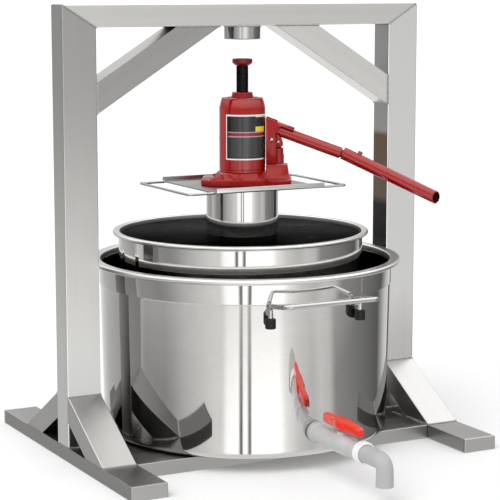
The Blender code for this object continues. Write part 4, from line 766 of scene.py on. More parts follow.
def screw_thread(name):
    """A screw thread: a pointed profile swept along a rising spiral."""
    tree, given, out = new_geometry(name, Radius=8.0 * MM, Turns=9.0, Height=36.0 * MM, Depth=0.7 * MM)
    spiral = add_node(tree, "GeometryNodeCurveSpiral", Resolution=40, Rotations=given["Turns"],
                      Start_Radius=given["Radius"], End_Radius=given["Radius"],
                      Height=given["Height"]).outputs[0]
    ridge = add_node(tree, "GeometryNodeCurvePrimitiveCircle", Resolution=6,
                     Radius=given["Depth"]).outputs[0]
    swept = add_node(tree, "GeometryNodeCurveToMesh", Curve=spiral, Profile_Curve=ridge, Fill_Caps=True)
    return end_tree(tree, given, out, swept.outputs[0])


def spaced_ring(name):
    """Blocks spaced round a circle, each facing outwards: grip ribs, or cutters for drain holes."""
    tree, given, out = new_geometry(name, Count=24, Radius=14.0 * MM)
    ring = add_node(tree, "GeometryNodeMeshCircle", Vertices=given["Count"],
                    Radius=given["Radius"]).outputs[0]
    outward = add_node(tree, "GeometryNodeInputPosition").outputs[0]
    turn = add_node(tree, "FunctionNodeAlignRotationToVector", {"axis": "X"}, Vector=outward).outputs[0]
    blocks = add_node(tree, "GeometryNodeInstanceOnPoints", Points=ring, Instance=given["Geometry"],
                      Rotation=turn).outputs[0]
    return end_tree(tree, given, out, blocks)


def ring_path(centre, radius, normal=(0.0, 0.0, 1.0), steps=48):
    """A closed row of points round an axis."""
    turn = Vector(normal).to_track_quat("Z", "Y").to_matrix()
    spots = circle(steps)
    return [Vector(centre) + turn @ Vector((radius * cosine, radius * sine, 0.0))
            for cosine, sine in spots + spots[:1]]


def rectangle(low, high, level):
    """A closed row of points round a rectangle at one height."""
    (left, front), (right, rear) = low, high
    corners = ((left, front), (right, front), (right, rear), (left, rear), (left, front))
    return [(*corner, level) for corner in corners]


def add_welds(name, paths, bead, ripple, body, slot):
    """Weld beads along rows of points."""
    corners, edges = [], []
    for path in paths:
        start = len(corners)
        corners += [tuple(point) for point in path]
        edges += [(start + index, start + index + 1) for index in range(len(path) - 1)]
    seams = bpy.data.meshes.new(name)
    seams.from_pydata(corners, edges, [])
    beads = made_by_nodes(name, seams, weld_bead, "weld_steel", Bead=bead, Ripple=ripple)
    add_piece(name, beads, "weld_steel", body, slot)


# Pots

POT_FLOOR_LIMIT = 0.2
HANDLE_ROD = 3.3 * MM
HANDLE_LEVEL = 17.0 * MM
ARM_ROD = 3.0 * MM


def pot_wall(radii, height, sheet, corner):
    """An open pot of even sheet: up the inside, over the edge and down the outside."""
    foot, top = radii[0][0], radii[-1][0]
    inside = [(0.0, sheet)] + arc((foot - corner, corner), corner - sheet, -90, 0)
    inside += [(radius - sheet, level) for radius, level in radii[1:]]
    outside = [(top - sheet, height), (top, height)] + list(reversed(radii[1:]))
    return inside + outside + arc((foot - corner, corner), corner, 0, -90) + [(0.0, 0.0)]


def rolled_rim(wall, height, sheet, reach, depth, roll):
    """Sheet bent outwards over a wall's edge and rolled under, with the neck's depth and the roll's width."""
    bead = roll / 2
    foot = height - depth
    turn_in = bead * 0.6
    profile = [(wall - sheet, foot), (wall - sheet, height - turn_in)]
    profile += arc((wall - sheet + turn_in, height - turn_in), turn_in, 180, 90, 5)[1:]
    profile += arc((reach - bead, height - bead), bead, 90, -60, 14)
    profile += arc((reach - bead, height - bead), bead - sheet, -60, 90, 10)
    return profile + [(wall, height - sheet), (wall, foot)]


def faces_axis(centre):
    """A test for faces that look towards a pot's axis or up from its floor."""
    def chosen(where, outward):
        flat = Vector((where.x - centre.x, where.y - centre.y, 0.0))
        floor = outward.z > 0.9 and where.z < POT_FLOOR_LIMIT
        return flat.dot(outward) < -0.5 * flat.length or floor
    return chosen


def add_pot(node, shell, sheet, place, depth, roll):
    """Put a pot's cut shell in the scene with painted shade inside, and roll its rim, whose lighter steel is
    a painted highlight.
    """
    base, _, wall = measures(node)
    _, rim_top, reach = measures(node + "_rim")
    pot = add_piece(node + "_shell", shell, "pot_steel", "frame", "polished_steel", node)
    # The inside walls and floor get painted shade.
    split_finish(pot, "pot_inside", faces_axis(middle(node)))
    rim = turned(rolled_rim(wall, rim_top - base, sheet, reach, depth, roll), POT_STEPS, place, ring=True)
    # The rolled rim's lighter steel is a painted highlight.
    add_piece(node + "_rolled_rim", rim, "rim_steel", "frame", "polished_steel", node + "_rim")


def along_tap(level):
    """The tap's axis from a place on Y: Z of a turned form points away from the pot."""
    place = joint_place("tap_turn")
    return Matrix.Translation((place.x, level, place.z)) @ Matrix.Rotation(QUARTER, 4, "X")


class FRUIT_PRESS_OT_juice_pot(bpy.types.Operator):
    """Make the juice pot with its stepped upper band, its seam and its rolled rim"""
    bl_idname = "fruit_press.juice_pot"
    bl_label = "Juice Pot"

    def execute(self, context):
        sizes = context.scene.fruit_press_pots
        base, top, band = measures("juice_pot")
        wall, taper, step_level = band - sizes.step, 4.0 * MM, 207.0 * MM
        place = upright("juice_pot", base)
        radii = [(wall - taper, 0.0)] + near(wall, step_level, (0.0, -2.2))
        radii += near(band, step_level, (-0.25, -0.4), (0.0, 0.6))
        shell = turned(pot_wall(radii, top - base, sizes.sheet, corner=10.0 * MM), POT_STEPS, place)
        tap_hole = solid_rod(9.8 * MM, -12.0 * MM, 20.0 * MM, SMALL_STEPS, along_tap(taper - wall))
        shell = cut_by("juice_pot_shell", shell, tap_hole)
        add_pot("juice_pot", shell, sizes.sheet, place, depth=8.6 * MM, roll=6.4 * MM)
        seam_place, sunk = 76.0 * MM, 0.2 * MM
        front = middle("juice_pot").y - math.sqrt(band ** 2 - seam_place ** 2) + sunk
        line = [(seam_place, front, level) for level in (base + step_level + 2.0 * MM, top - 1.0 * MM)]
        seam = add_pipe(bmesh.new(), line, sizes.seam / 2, steps=12)
        add_piece("band_seam", seam, "weld_steel", "frame", "polished_steel")
        return {"FINISHED"}


class FRUIT_PRESS_OT_straining_pot(bpy.types.Operator):
    """Make the straining pot with its rolled rim and two rows of drain holes"""
    bl_idname = "fruit_press.straining_pot"
    bl_label = "Straining Pot"

    def execute(self, context):
        sizes = context.scene.fruit_press_pots
        base, top, wall = measures("straining_pot")
        place, outward, reach = upright("straining_pot", base), Matrix.Rotation(QUARTER, 4, "Y"), 6.0 * MM
        radii = [(wall, 0.0), (wall, 20.0 * MM)]
        shell = turned(pot_wall(radii, top - base, sizes.sheet, corner=8.0 * MM), POT_STEPS, place)
        for row, level in enumerate((22.0 * MM, 48.0 * MM)):
            punch = solid_rod(sizes.drain_radius, -reach, reach, 20, outward)
            punches = made_by_nodes("drain_row", punch, spaced_ring, "pot_inside", Count=sizes.drains,
                                    Radius=wall - sizes.sheet / 2)
            half_step = Matrix.Rotation(math.pi / sizes.drains * row, 4, "Z")
            punches.transform(place @ Matrix.Translation((0.0, 0.0, level)) @ half_step)
            shell = cut_by("straining_pot_shell", shell, punches)
        add_pot("straining_pot", shell, sizes.sheet, place, depth=6.4 * MM, roll=4.8 * MM)
        return {"FINISHED"}


class FRUIT_PRESS_OT_pot_handles(bpy.types.Operator):
    """Bend the two rod handles and put rubber caps on their legs"""
    bl_idname = "fruit_press.pot_handles"
    bl_label = "Pot Handles"

    def execute(self, context):
        cap = near(0.0, 0.0, (0.0, 1.0), (3.6, 1.0), (3.6, 12.0), (4.6, 13.2), (6.4, 13.2), (7.0, 12.4),
                   (7.0, 2.0))
        cap += arc((5.6 * MM, 1.4 * MM), 1.4 * MM, 0, -90, 4) + [(0.0, 0.0)]
        caps = bmesh.new()
        for word, side in (("front", -1), ("rear", 1)):
            low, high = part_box(word + "_pot_handle")
            cap_low, cap_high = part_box(word + "_left_handle_cap")
            across, leg = high.x - HANDLE_ROD, (cap_low.y + cap_high.y) / 2
            outer, wall = ends(low.y, high.y, side)
            bar, rise = outer - side * HANDLE_ROD, high.z - HANDLE_ROD * 0.99
            bend, level = low.z + 27.0 * MM, low.z + HANDLE_LEVEL
            corners = [(-across, leg, low.z), (-across, leg, bend), (-across, bar, rise),
                       (across, bar, rise), (across, leg, bend), (across, leg, low.z)]
            rods = add_pipe(bmesh.new(), rounded_path(corners, radius=8.0 * MM), HANDLE_ROD, steps=28)
            for place in (-across, across):
                add_pipe(rods, [(place, leg, level), (place, wall, level)], ARM_ROD, steps=24)
                add_turned(caps, cap, SMALL_STEPS, Matrix.Translation((place, leg, cap_low.z)))
            add_piece(word + "_handle_rod", rods, "bright_rod", "frame", "chrome", word + "_pot_handle")
        nodes = [end + "_" + side + "_handle_cap" for end in ("front", "rear") for side in ("left", "right")]
        add_piece("handle_cap_set", caps, "cap_rubber", "frame", "black_rubber", *nodes)
        return {"FINISHED"}


# Tap

# Radii of the tap's body
TAP_BORE, TAP_SHANK, TAP_FLANGE = 7.0 * MM, 9.5 * MM, 14.0 * MM
TAP_NECK, TAP_BARREL, TAP_OUTLET = 11.6 * MM, 13.5 * MM, 11.5 * MM
BOSS_TOP = 70.0 * MM
LEVER_HEIGHT = 16.0
# Sections of the lever in millimetres: place along it, half width, foot and top
LEVER_STATIONS = (
    (45.0, 3.4, 3.5, 13.0), (43.0, 4.8, 2.0, 14.6), (38.0, 5.8, 1.2, 15.6), (14.0, 6.6, 0.3, 16.0),
    (11.0, 9.2, 0.1, 16.0), (9.0, 10.0, 0.0, 16.0), (-9.0, 10.0, 0.0, 16.0), (-11.0, 9.2, 0.0, 15.9),
    (-14.0, 6.8, 0.0, 15.8), (-26.0, 6.4, 0.0, 14.6), (-38.0, 5.9, 0.0, 12.6), (-43.0, 5.0, 0.3, 11.4),
    (-45.0, 3.6, 1.2, 10.0))


def rounded_section(along, half, foot, top, steps=28, power=3.2):
    """A ring of points in a plane of X and Z, between a rectangle and an ellipse."""
    ring = []
    for cosine, sine in circle(steps):
        across = math.copysign(abs(cosine) ** (2 / power), cosine) * half
        up = math.copysign(abs(sine) ** (2 / power), sine) * (top - foot) / 2 + (top + foot) / 2
        ring.append((across, along, up))
    return ring


def tap_profile(end):
    """The tap's body from the pot to its end: shank, flange, neck, barrel and outlet round one bore."""
    barrel_end = end - 34.0 * MM
    barrel_start = barrel_end - 45.0 * MM
    flange_end = barrel_start - 41.5 * MM
    flange_start = flange_end - 4.5 * MM
    fillet, edge = 2.4 * MM, 1.0 * MM
    profile = [(TAP_BORE, 0.0), (TAP_BORE, end)] + near(TAP_OUTLET, end, (-1.2, 0.0), (0.0, -1.2))
    profile += near(TAP_OUTLET, barrel_end, (0.0, 1.0), (0.9, 0.0))
    profile += near(TAP_BARREL, barrel_end, (-0.3, -8.0), (0.0, -10.0), (0.0, -16.0))
    profile += near(TAP_BARREL, barrel_start, (0.0, 14.0), (-0.3, 9.0))
    profile += near(TAP_NECK, barrel_start, (0.8, 1.0), (0.0, 0.0)) + [(TAP_NECK, flange_end + fillet)]
    profile += arc((TAP_NECK + fillet, flange_end + fillet), fillet, 180, 270, 5)
    profile += arc((TAP_FLANGE - edge, flange_end - edge), edge, 90, 0, 4)
    profile += near(TAP_FLANGE, flange_start, (0.0, 0.8), (-0.8, 0.0))
    return profile + [(TAP_SHANK, flange_start), (TAP_SHANK, 0.0)]


class FRUIT_PRESS_OT_tap(bpy.types.Operator):
    """Make the tap's body, collar, elbow and lever"""
    bl_idname = "fruit_press.tap"
    bl_label = "Tap"

    def execute(self, context):
        axis = joint_place("tap_turn")
        low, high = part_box("tap_body")
        body = turned(tap_profile(high.y - low.y), 64, along_tap(high.y), ring=True)
        boss_foot = 8.0 * MM
        boss = [(4.4 * MM, boss_foot)] + near(0.0, BOSS_TOP - axis.z, (4.4, 0.0), (6.9, 0.0), (8.0, -1.1))
        add_turned(body, boss + [(8.0 * MM, boss_foot)], SMALL_STEPS, Matrix.Translation(axis), ring=True)
        add_piece("tap_barrel", body, "tap_plastic", "frame", "white_plastic", "tap_body")

        low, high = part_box("tap_collar")
        width, outer, rib = high.y - low.y, (high.x - low.x) / 2, 0.55 * MM
        ring = [(TAP_OUTLET + 0.3 * MM, 0.0), (TAP_OUTLET + 0.3 * MM, width)]
        ring += near(outer, width, (-1.4, 0.0), (-0.5, -0.9)) + near(outer, 0.0, (-0.5, 0.9), (-1.4, 0.0))
        place = along_tap(high.y)
        add_piece("tap_collar_ring", turned(ring, 80, place, ring=True), "collar_plastic", "frame",
                  "white_plastic", "tap_collar")
        inset = 0.8 * MM
        block = add_pipe(bmesh.new(), [(0.0, 0.0, inset), (0.0, 0.0, width - inset)], rib, steps=8)
        ribs = made_by_nodes("collar_ribs", block, spaced_ring, "collar_plastic", Radius=outer - rib,
                             Count=context.scene.fruit_press_details.ribs)
        ribs.transform(place)
        add_piece("collar_ribs", ribs, "collar_plastic", "frame", "white_plastic")

        low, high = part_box("tap_spout")
        radius = (high.x - low.x) / 2
        corner = low.y + radius
        points = rounded_path([(0.0, high.y, axis.z), (0.0, corner, axis.z), (0.0, corner, low.z)],
                              radius=11.6 * MM, steps=14)
        # The elbow narrows a little over its first points, and its mouth has the full radius.
        narrowing, run = 0.5 * MM, 4
        radii = [radius - narrowing * min(1.0, index / run) for index in range(len(points) - 1)] + [radius]
        elbow = add_pipe(bmesh.new(), points, radii, SMALL_STEPS, bore=8.3 * MM)
        add_piece("tap_elbow", elbow, "spout_plastic", "frame", "white_plastic", "tap_spout")

        foot, top = BOSS_TOP + 0.5 * MM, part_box("tap_lever")[1].z
        share = (top - foot) / LEVER_HEIGHT
        sections = [rounded_section(axis.y + along * MM, half * MM, foot + under * share, foot + over * share)
                    for along, half, under, over in LEVER_STATIONS]
        lever = lofted(sections)
        stem = [(0.0, axis.y, 63.4 * MM), (0.0, axis.y, foot + 1.0 * MM)]
        add_pipe(lever, stem, 4.0 * MM, steps=28)
        add_piece("tap_lever_wings", lever, "lever_plastic", "tap_valve", "orange_plastic", "tap_lever")
        dress("seal_rubber", "tap_seal")
        dress("tap_plastic", "tap_nut")
        dress("bright_rod", "tap_ball")
        return {"FINISHED"}


# Press plate and jack

class FRUIT_PRESS_OT_press_plate(bpy.types.Operator):
    """Make the press plate, its column, the jack's tray and the tray's wire loops"""
    bl_idname = "fruit_press.press_plate"
    bl_label = "Press Plate"

    def execute(self, context):
        foot, top, radius = measures("press_plate")
        thick, edge = top - foot, 1.5 * MM
        profile = [(0.0, thick)] + arc((radius - edge, thick - edge), edge, 90, 0, 4)
        profile += arc((radius - edge, edge), edge, 0, -90, 4) + [(0.0, 0.0)]
        disc = turned(profile, POT_STEPS, upright("press_plate", foot))
        # The disc gets painted shade.
        add_piece("press_disc", disc, "plate_steel", "press", "satin_steel", "press_plate")

        foot, top, outer = measures("press_column")
        wall = 2.5 * MM
        column = turned(sleeve(outer - wall, outer, foot, top, edge=0.4 * MM), steps=160, ring=True)
        add_piece("column_tube", column, "column_steel", "press", "polished_steel", "press_column")

        low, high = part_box("jack_tray")
        sheet, bend, half = 2.0 * MM, 2.6 * MM, high.y
        right = arc((half - bend, low.z + bend), bend, -90, 0, 6) + [(half, high.z), (half - sheet, high.z)]
        right += arc((half - bend, low.z + bend), bend - sheet, 0, -90, 6)
        outline = right + [(-across, level) for across, level in reversed(right)]
        turn = Matrix.Rotation(QUARTER, 4, "Z")
        tray = lofted([[turn @ Vector((across, depth, level)) for across, level in outline]
                       for depth in (-high.x, high.x)])
        tray = modified("folded_tray", tray, "BEVEL", TRAY_SMOOTH_ANGLE, width=0.35 * MM, segments=2,
                        limit_method="ANGLE", angle_limit=SMOOTH_ANGLE, harden_normals=False)
        tray = add_piece("folded_tray", tray, "sheet_steel", "press", "satin_steel", "jack_tray")
        # The flange's front faces get painted light, and the rest of the tray painted shade.
        split_finish(tray, "flange_steel", lambda where, outward: outward.y < -0.6 and where.y < 0.0)

        for word, side in (("left", -1), ("right", 1)):
            low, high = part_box(word + "_tray_loop")
            wire, level = (high.z - low.z) / 2, (high.z + low.z) / 2
            outer, start = ends(low.x, high.x, side)
            reach, across = outer - side * wire, high.y - wire
            points = rounded_path([(start, across, level), (reach, across, level), (reach, -across, level),
                                   (start, -across, level)], radius=7.0 * MM)
            loop = add_pipe(bmesh.new(), points, wire, steps=20)
            add_piece(word + "_wire_loop", loop, "bright_rod", "press", "chrome", word + "_tray_loop")
        return {"FINISHED"}


class FRUIT_PRESS_OT_jack(bpy.types.Operator):
    """Make the jack's tank, nut, ram, extension screw and saddle on its cast base"""
    bl_idname = "fruit_press.jack"
    bl_label = "Bottle Jack"

    def execute(self, context):
        add_copies(("cast_base", "cast_enamel", "press", "red_enamel", "jack_base"))
        foot, top, radius = measures("jack_tank")
        neck, sheet = 21.0 * MM, 2.5 * MM
        profile = [(radius - sheet, foot), (radius - sheet, top - 14.0 * MM),
                   (radius - 2 * sheet, top - 4.0 * MM), (neck, top - sheet), (neck, top)]
        profile += near(radius, top, (-4.6, 0.0), (-3.6, -0.6), (-3.0, -1.4), (-3.2, -2.6), (-2.6, -3.6),
                        (-0.3, -12.4), (0.0, -14.0))
        profile += near(radius, foot, (0.0, 4.6), (-0.7, 4.0), (-0.7, 3.4), (0.0, 2.8), (0.0, 0.6),
                        (-0.6, 0.0))
        tank = turned(profile, steps=128, ring=True)
        add_piece("tank_shell", tank, "tank_enamel", "press", "red_enamel", "jack_tank")
        dress("cap_rubber", "tank_packing", "filler_plug")
        dress("bright_rod", "pressure_cylinder")

        foot, top, outer = measures("top_nut")
        bore = 12.3 * MM
        profile = [(bore, foot), (bore, top)] + near(outer, top, (-1.8, 0.0), (-0.9, -0.8), (-1.2, -2.6))
        nut = turned(profile + near(outer, foot, (0.0, 1.4), (0.0, 0.0)), ring=True)
        notches = bmesh.new()
        depth, half, ledge, beyond, over = 2.6 * MM, 2.2 * MM, 1.8 * MM, 3.0 * MM, 2.0 * MM
        for turn in (20.0, 140.0, 260.0):
            add_box(notches, (outer - depth, -half, foot + ledge), (outer + beyond, half, top + over),
                    Matrix.Rotation(math.radians(turn), 4, "Z"))
        nut = cut_by("collar_nut", nut, notches)
        add_piece("collar_nut", nut, "cast_enamel", "press", "red_enamel", "top_nut")
        add_copies(("ram_rod", "bright_rod", "ram", "chrome", "ram"))

        foot, top, outer = measures("extension_screw")
        depth, edge, lead = 0.55 * MM, 0.6 * MM, 2.0 * MM
        core = outer - depth
        screw = turned([(0.0, foot), (core, foot), (core, top - edge), (core - edge, top), (0.0, top)], 64)
        add_piece("screw_core", screw, "screw_black", "extension_screw", "blackened_steel", "extension_screw")
        run = top - foot - 2 * lead
        turns = run / context.scene.fruit_press_details.pitch
        thread = made_by_nodes("screw_thread", bpy.data.meshes.new("thread_start"), screw_thread,
                               "screw_black", Radius=core, Turns=turns, Height=run, Depth=depth)
        thread.transform(Matrix.Translation((0.0, 0.0, foot + lead)))
        add_piece("screw_thread", thread, "screw_black", "extension_screw", "blackened_steel")

        foot, top, outer = measures("saddle")
        waist, edge, ridge, dish = outer - 3.5 * MM, 0.9 * MM, 0.8 * MM, outer - 3.6 * MM
        profile = [(0.0, top - 1.5 * MM)] + near(outer, top, (-3.2, -1.5), (-2.8, 0.0))
        profile += arc((outer - edge, top - edge), edge, 90, 0, 4)
        profile += near(outer, foot, (0.0, 3.6), (-0.5, 2.8)) + near(waist, foot, (0.0, 0.4), (-0.4, 0.0))
        saddle = turned(profile + [(0.0, foot)], steps=72)
        for place in (-6.0 * MM, -2.0 * MM, 2.0 * MM, 6.0 * MM):
            reach = math.sqrt(dish ** 2 - place ** 2)
            add_box(saddle, (place - ridge, -reach, top - 1.6 * MM), (place + ridge, reach, top - 0.5 * MM))
        add_piece("saddle_cap", saddle, "dark_enamel", "saddle", "red_enamel", "saddle")
        return {"FINISHED"}


class FRUIT_PRESS_OT_label(bpy.types.Operator):
    """Wrap the label round the front of the tank"""
    bl_idname = "fruit_press.label"
    bl_label = "Tank Label"

    def execute(self, context):
        clearance, thick = 0.05 * MM, 0.15 * MM
        inner = measures("jack_tank")[2] + clearance
        outer = inner + thick
        foot, top = 395.0 * MM, 457.0 * MM
        start, end = math.radians(198.4), math.radians(338.0)
        steps = 60
        build = bmesh.new()
        columns, shares = [], {}
        for step in range(steps + 1):
            angle = start + (end - start) * (step / steps)
            column = [build.verts.new((reach * math.cos(angle), reach * math.sin(angle), level))
                      for reach, level in ((inner, foot), (inner, top), (outer, top), (outer, foot))]
            shares.update(dict.fromkeys(column, step / steps))
            columns.append(column)
        for first, second in zip(columns, columns[1:]):
            bridge(build, first, second)
        for column in (columns[0], columns[-1]):
            build.faces.new(column)
        layer = build.loops.layers.uv.new("label")
        for face in build.faces:
            for loop in face.loops:
                loop[layer].uv = (shares[loop.vert], (loop.vert.co.z - foot) / (top - foot))
        add_piece("tank_label", build, "label_print", "press", "red_enamel")
        return {"FINISHED"}


# The way towards the camera, to which the handle's open end is cut
VIEWER_WAY = Vector((-0.47, -0.88, 0.3))
END_SLANT = 0.75
CUT_RUN = 5.0 * MM


class FRUIT_PRESS_OT_pump(bpy.types.Operator):
    """Make the pump, its bracket, the rocker and the two tubes of the handle"""
    bl_idname = "fruit_press.pump"
    bl_label = "Pump and Handle"

    def execute(self, context):
        foot, top, outer = measures("pump_barrel")
        bore, ridge = 4.8 * MM, foot + 13.0 * MM
        profile = [(bore, foot), (bore, top)] + near(outer, top, (-1.7, 0.0), (-0.7, -1.0))
        profile += near(outer, ridge, (-0.7, 0.8), (0.0, 0.0))
        profile += near(outer, foot, (0.0, 1.2), (-0.6, 0.6), (-0.6, 0.0))
        tower = turned(profile, 72, upright("pump_barrel", 0.0), ring=True)
        add_piece("pump_tower", tower, "cast_enamel", "press", "red_enamel", "pump_barrel")
        add_copies(("bracket_ears", "cast_enamel", "press", "red_enamel", "pump_bracket"),
                   ("pivot_pin", "bright_rod", "press", "chrome", "rocker_pivot"),
                   ("valve_knob", "bright_rod", "release_valve", "chrome", "release_valve"),
                   ("plunger_rod", "bright_rod", "plunger", "chrome", "plunger"),
                   ("cross_pin", "bright_rod", "plunger", "chrome", "pump_pin"),
                   ("rocker_casting", "cast_enamel", "pump_handle", "red_enamel", "rocker"))

        level, start, joint = 14.8 * MM, 1.1 * MM, 111.6 * MM
        shoulder, spigot_end = joint - 14.4 * MM, joint + 13.0 * MM
        radius, spigot = 7.8 * MM, 5.4 * MM
        profile = [(0.0, spigot_end), (spigot, spigot_end), (spigot, shoulder), (radius, shoulder - 1.4 * MM),
                   (radius, start), (0.0, start)]
        place = ROCKER @ Matrix.Translation((0.0, 0.0, level)) @ Matrix.Rotation(QUARTER, 4, "Y")
        add_piece("lower_handle_tube", turned(profile, 64, place), "tank_enamel", "pump_handle", "red_enamel",
                  "handle_lower_tube")

        kink = math.radians(25.4) - ROCKER_ANGLE
        bore, outer, back, reach, edge = 7.2 * MM, 8.7 * MM, -13.0 * MM, 137.0 * MM, 0.5 * MM
        place = ROCKER @ Matrix.Translation((joint, 0.0, level)) @ Matrix.Rotation(QUARTER + kink, 4, "Y")
        profile = sleeve(bore, outer, back, reach, edge)
        tube = as_mesh(turned(profile, 64, place, ring=True), "upper_handle_tube")
        origin, way = place.translation, place.to_3x3() @ Vector((0.0, 0.0, 1.0))
        facing = (VIEWER_WAY - way * VIEWER_WAY.dot(way)).normalized()
        for corner in tube.vertices:
            offset = corner.co - origin
            if offset.dot(way) > reach - CUT_RUN:
                corner.co -= way * (offset.dot(facing) + outer) * END_SLANT
        upper = add_piece("upper_handle_tube", tube, "tank_enamel", "pump_handle", "red_enamel",
                          "handle_upper_tube")

        def in_bore(where, outward):
            away = where - origin
            away -= way * away.dot(way)
            return away.dot(outward) < -0.5 * away.length
        # The bore's faces get painted shade.
        split_finish(upper, "bore_dark", in_bore)
        add_copies(("lock_screw", "tank_enamel", "pump_handle", "red_enamel", "handle_lock_screw"))
        return {"FINISHED"}


# Frame

class FRUIT_PRESS_OT_frame_tubes(bpy.types.Operator):
    """Finish the frame's tubes with grain along each one, and make the head ring"""
    bl_idname = "fruit_press.frame_tubes"
    bl_label = "Frame Tubes"

    def execute(self, context):
        dress("left_post_steel", "left_post")
        dress("right_post_steel", "right_post")
        dress("beam_steel", "top_beam")
        dress("member_steel", "cross_member")
        dress("base_steel", "base_plate")
        for side in ("left", "right"):
            dress("foot_steel", side + "_foot")
            dress("upper_brace_" + side, side + "_upper_brace")
            for end in ("front", "rear"):
                dress("lower_brace_" + end, side + "_" + end + "_brace")
                dress("cap_steel", side + "_" + end + "_foot_cap")
        foot, top, outer = measures("head_ring")
        bore, edge, corner = 19.0 * MM, 0.6 * MM, 1.6 * MM
        profile = [(bore, foot + edge), (bore, top), (outer, top)]
        profile += arc((outer - corner, foot + corner), corner, 0, -90, 6) + [(bore + edge, foot)]
        add_piece("saddle_ring", turned(profile, ring=True), "ring_steel", "frame", "chrome", "head_ring")
        return {"FINISHED"}


def lower_brace_seams(node, way, inset):
    """Seams of a lower brace: three sides of its head on the post, and three of its tip on the foot."""
    low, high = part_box(node)
    tip, face = ends(low.y, high.y, way)
    left, right = low.x + inset, high.x - inset
    head_run, tip_run = 34.0 * MM, 57.0 * MM
    under, back = high.z - head_run, tip - way * tip_run
    return [[(left, face, under), (left, face, high.z), (right, face, high.z), (right, face, under)],
            [(left, back, low.z), (left, tip, low.z), (right, tip, low.z), (right, back, low.z)]]


class FRUIT_PRESS_OT_welds(bpy.types.Operator):
    """Run weld beads along the seams of the frame, the handles and the press column"""
    bl_idname = "fruit_press.welds"
    bl_label = "Welds"

    def execute(self, context):
        details = context.scene.fruit_press_details
        paths = []
        beam_low, beam_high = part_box("top_beam")
        faces = (-beam_high.y, beam_high.y)
        inset, below, post_run, beam_run = 0.8 * MM, 2.4 * MM, 41.0 * MM, 66.0 * MM
        for side, word in ((-1, "left"), (1, "right")):
            low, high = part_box(word + "_post")
            outer, inner = ends(low.x, high.x, side)
            paths.append(rectangle((low.x + inset, low.y), (high.x - inset, high.y), low.z))
            slope = (inner - outer) / (beam_high.z - beam_low.z) * below
            for face in faces:
                paths.append([(outer + slope, face, beam_high.z - below), (inner, face, beam_low.z)])
            brace_low, brace_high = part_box(word + "_upper_brace")
            end = ends(brace_low.x, brace_high.x, side)[1]
            for face in faces:
                paths.append([(inner, face, brace_low.z), (inner, face, brace_low.z + post_run)])
                paths.append([(end, face, beam_low.z), (end + side * beam_run, face, beam_low.z)])
            for end_word, way in (("front", -1), ("rear", 1)):
                paths += lower_brace_seams(word + "_" + end_word + "_brace", way, inset)
        plate_low, plate_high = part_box("base_plate")
        level, run, spacing, stitches = plate_high.z - 0.6 * MM, 22.0 * MM, 56.0 * MM, 5
        for edge in (plate_low.x, plate_high.x):
            for stitch in range(stitches):
                along = plate_low.y + 12.0 * MM + stitch * spacing
                paths.append([(edge, along, level), (edge, along + run, level)])
        _, ring_top, ring_radius = measures("head_ring")
        paths.append(ring_path((0.0, 0.0, ring_top - 0.2 * MM), ring_radius))
        add_welds("frame_welds", paths, details.bead, details.ripple, "frame", "satin_steel")

        paths = []
        for word, side in (("front", -1), ("rear", 1)):
            low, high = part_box(word + "_pot_handle")
            wall = ends(low.y, high.y, side)[1] + side * 0.6 * MM
            for place in (low.x + HANDLE_ROD, high.x - HANDLE_ROD):
                paths.append(ring_path((place, wall, low.z + HANDLE_LEVEL), 3.1 * MM, (0.0, 1.0, 0.0), 20))
        add_welds("handle_welds", paths, 0.8 * MM, 1.0 * MM, "frame", "polished_steel")

        _, column_top, column = measures("press_column")
        paths = [ring_path((0.0, 0.0, column_top), column - 0.5 * MM, steps=96)]
        add_welds("column_welds", paths, 0.9 * MM, 1.3 * MM, "press", "satin_steel")
        return {"FINISHED"}


# Floor, light and camera

CAMERA_PLACE = (-1.1325, -2.1688, 0.6365)
CAMERA_HEADING = math.radians(-27.82)
CAMERA_FALL = math.radians(8.61)
CAMERA_LENS = 127.55
CAMERA_SENSOR = 36.0
FLOOR_REACH = 150.0
FAR_CLIP = 1000.0
KEY_WIDTH = math.radians(50.0)
KEY_TURN = (math.radians(38.0), 0.0, math.radians(-60.0))
# Brightness of the studio by the direction that steel reflects, in degrees to the right of the camera
STUDIO_BANDS = (
    (-180, 0.9), (-145, 0.50), (-118, 0.38), (-112, 0.66), (-98, 0.46), (-90, 0.32), (-70, 0.28), (-62, 0.34),
    (-50, 0.50), (-24, 0.78), (-19, 0.8), (-15, 1.25), (-5.0, 1.4), (-4.0, 0.05), (-2.4, 0.05), (-1.4, 1.35),
    (2.0, 1.35), (3.0, 0.10), (4.2, 0.10), (5.2, 1.45), (28, 1.45), (34, 0.98), (44, 0.70), (56, 0.56),
    (64, 0.66), (74, 0.58), (80, 0.29), (135, 0.11), (150, 0.60), (180, 0.9))
BELOW_COLOUR = (0.75, 0.75, 0.74, 1.0)


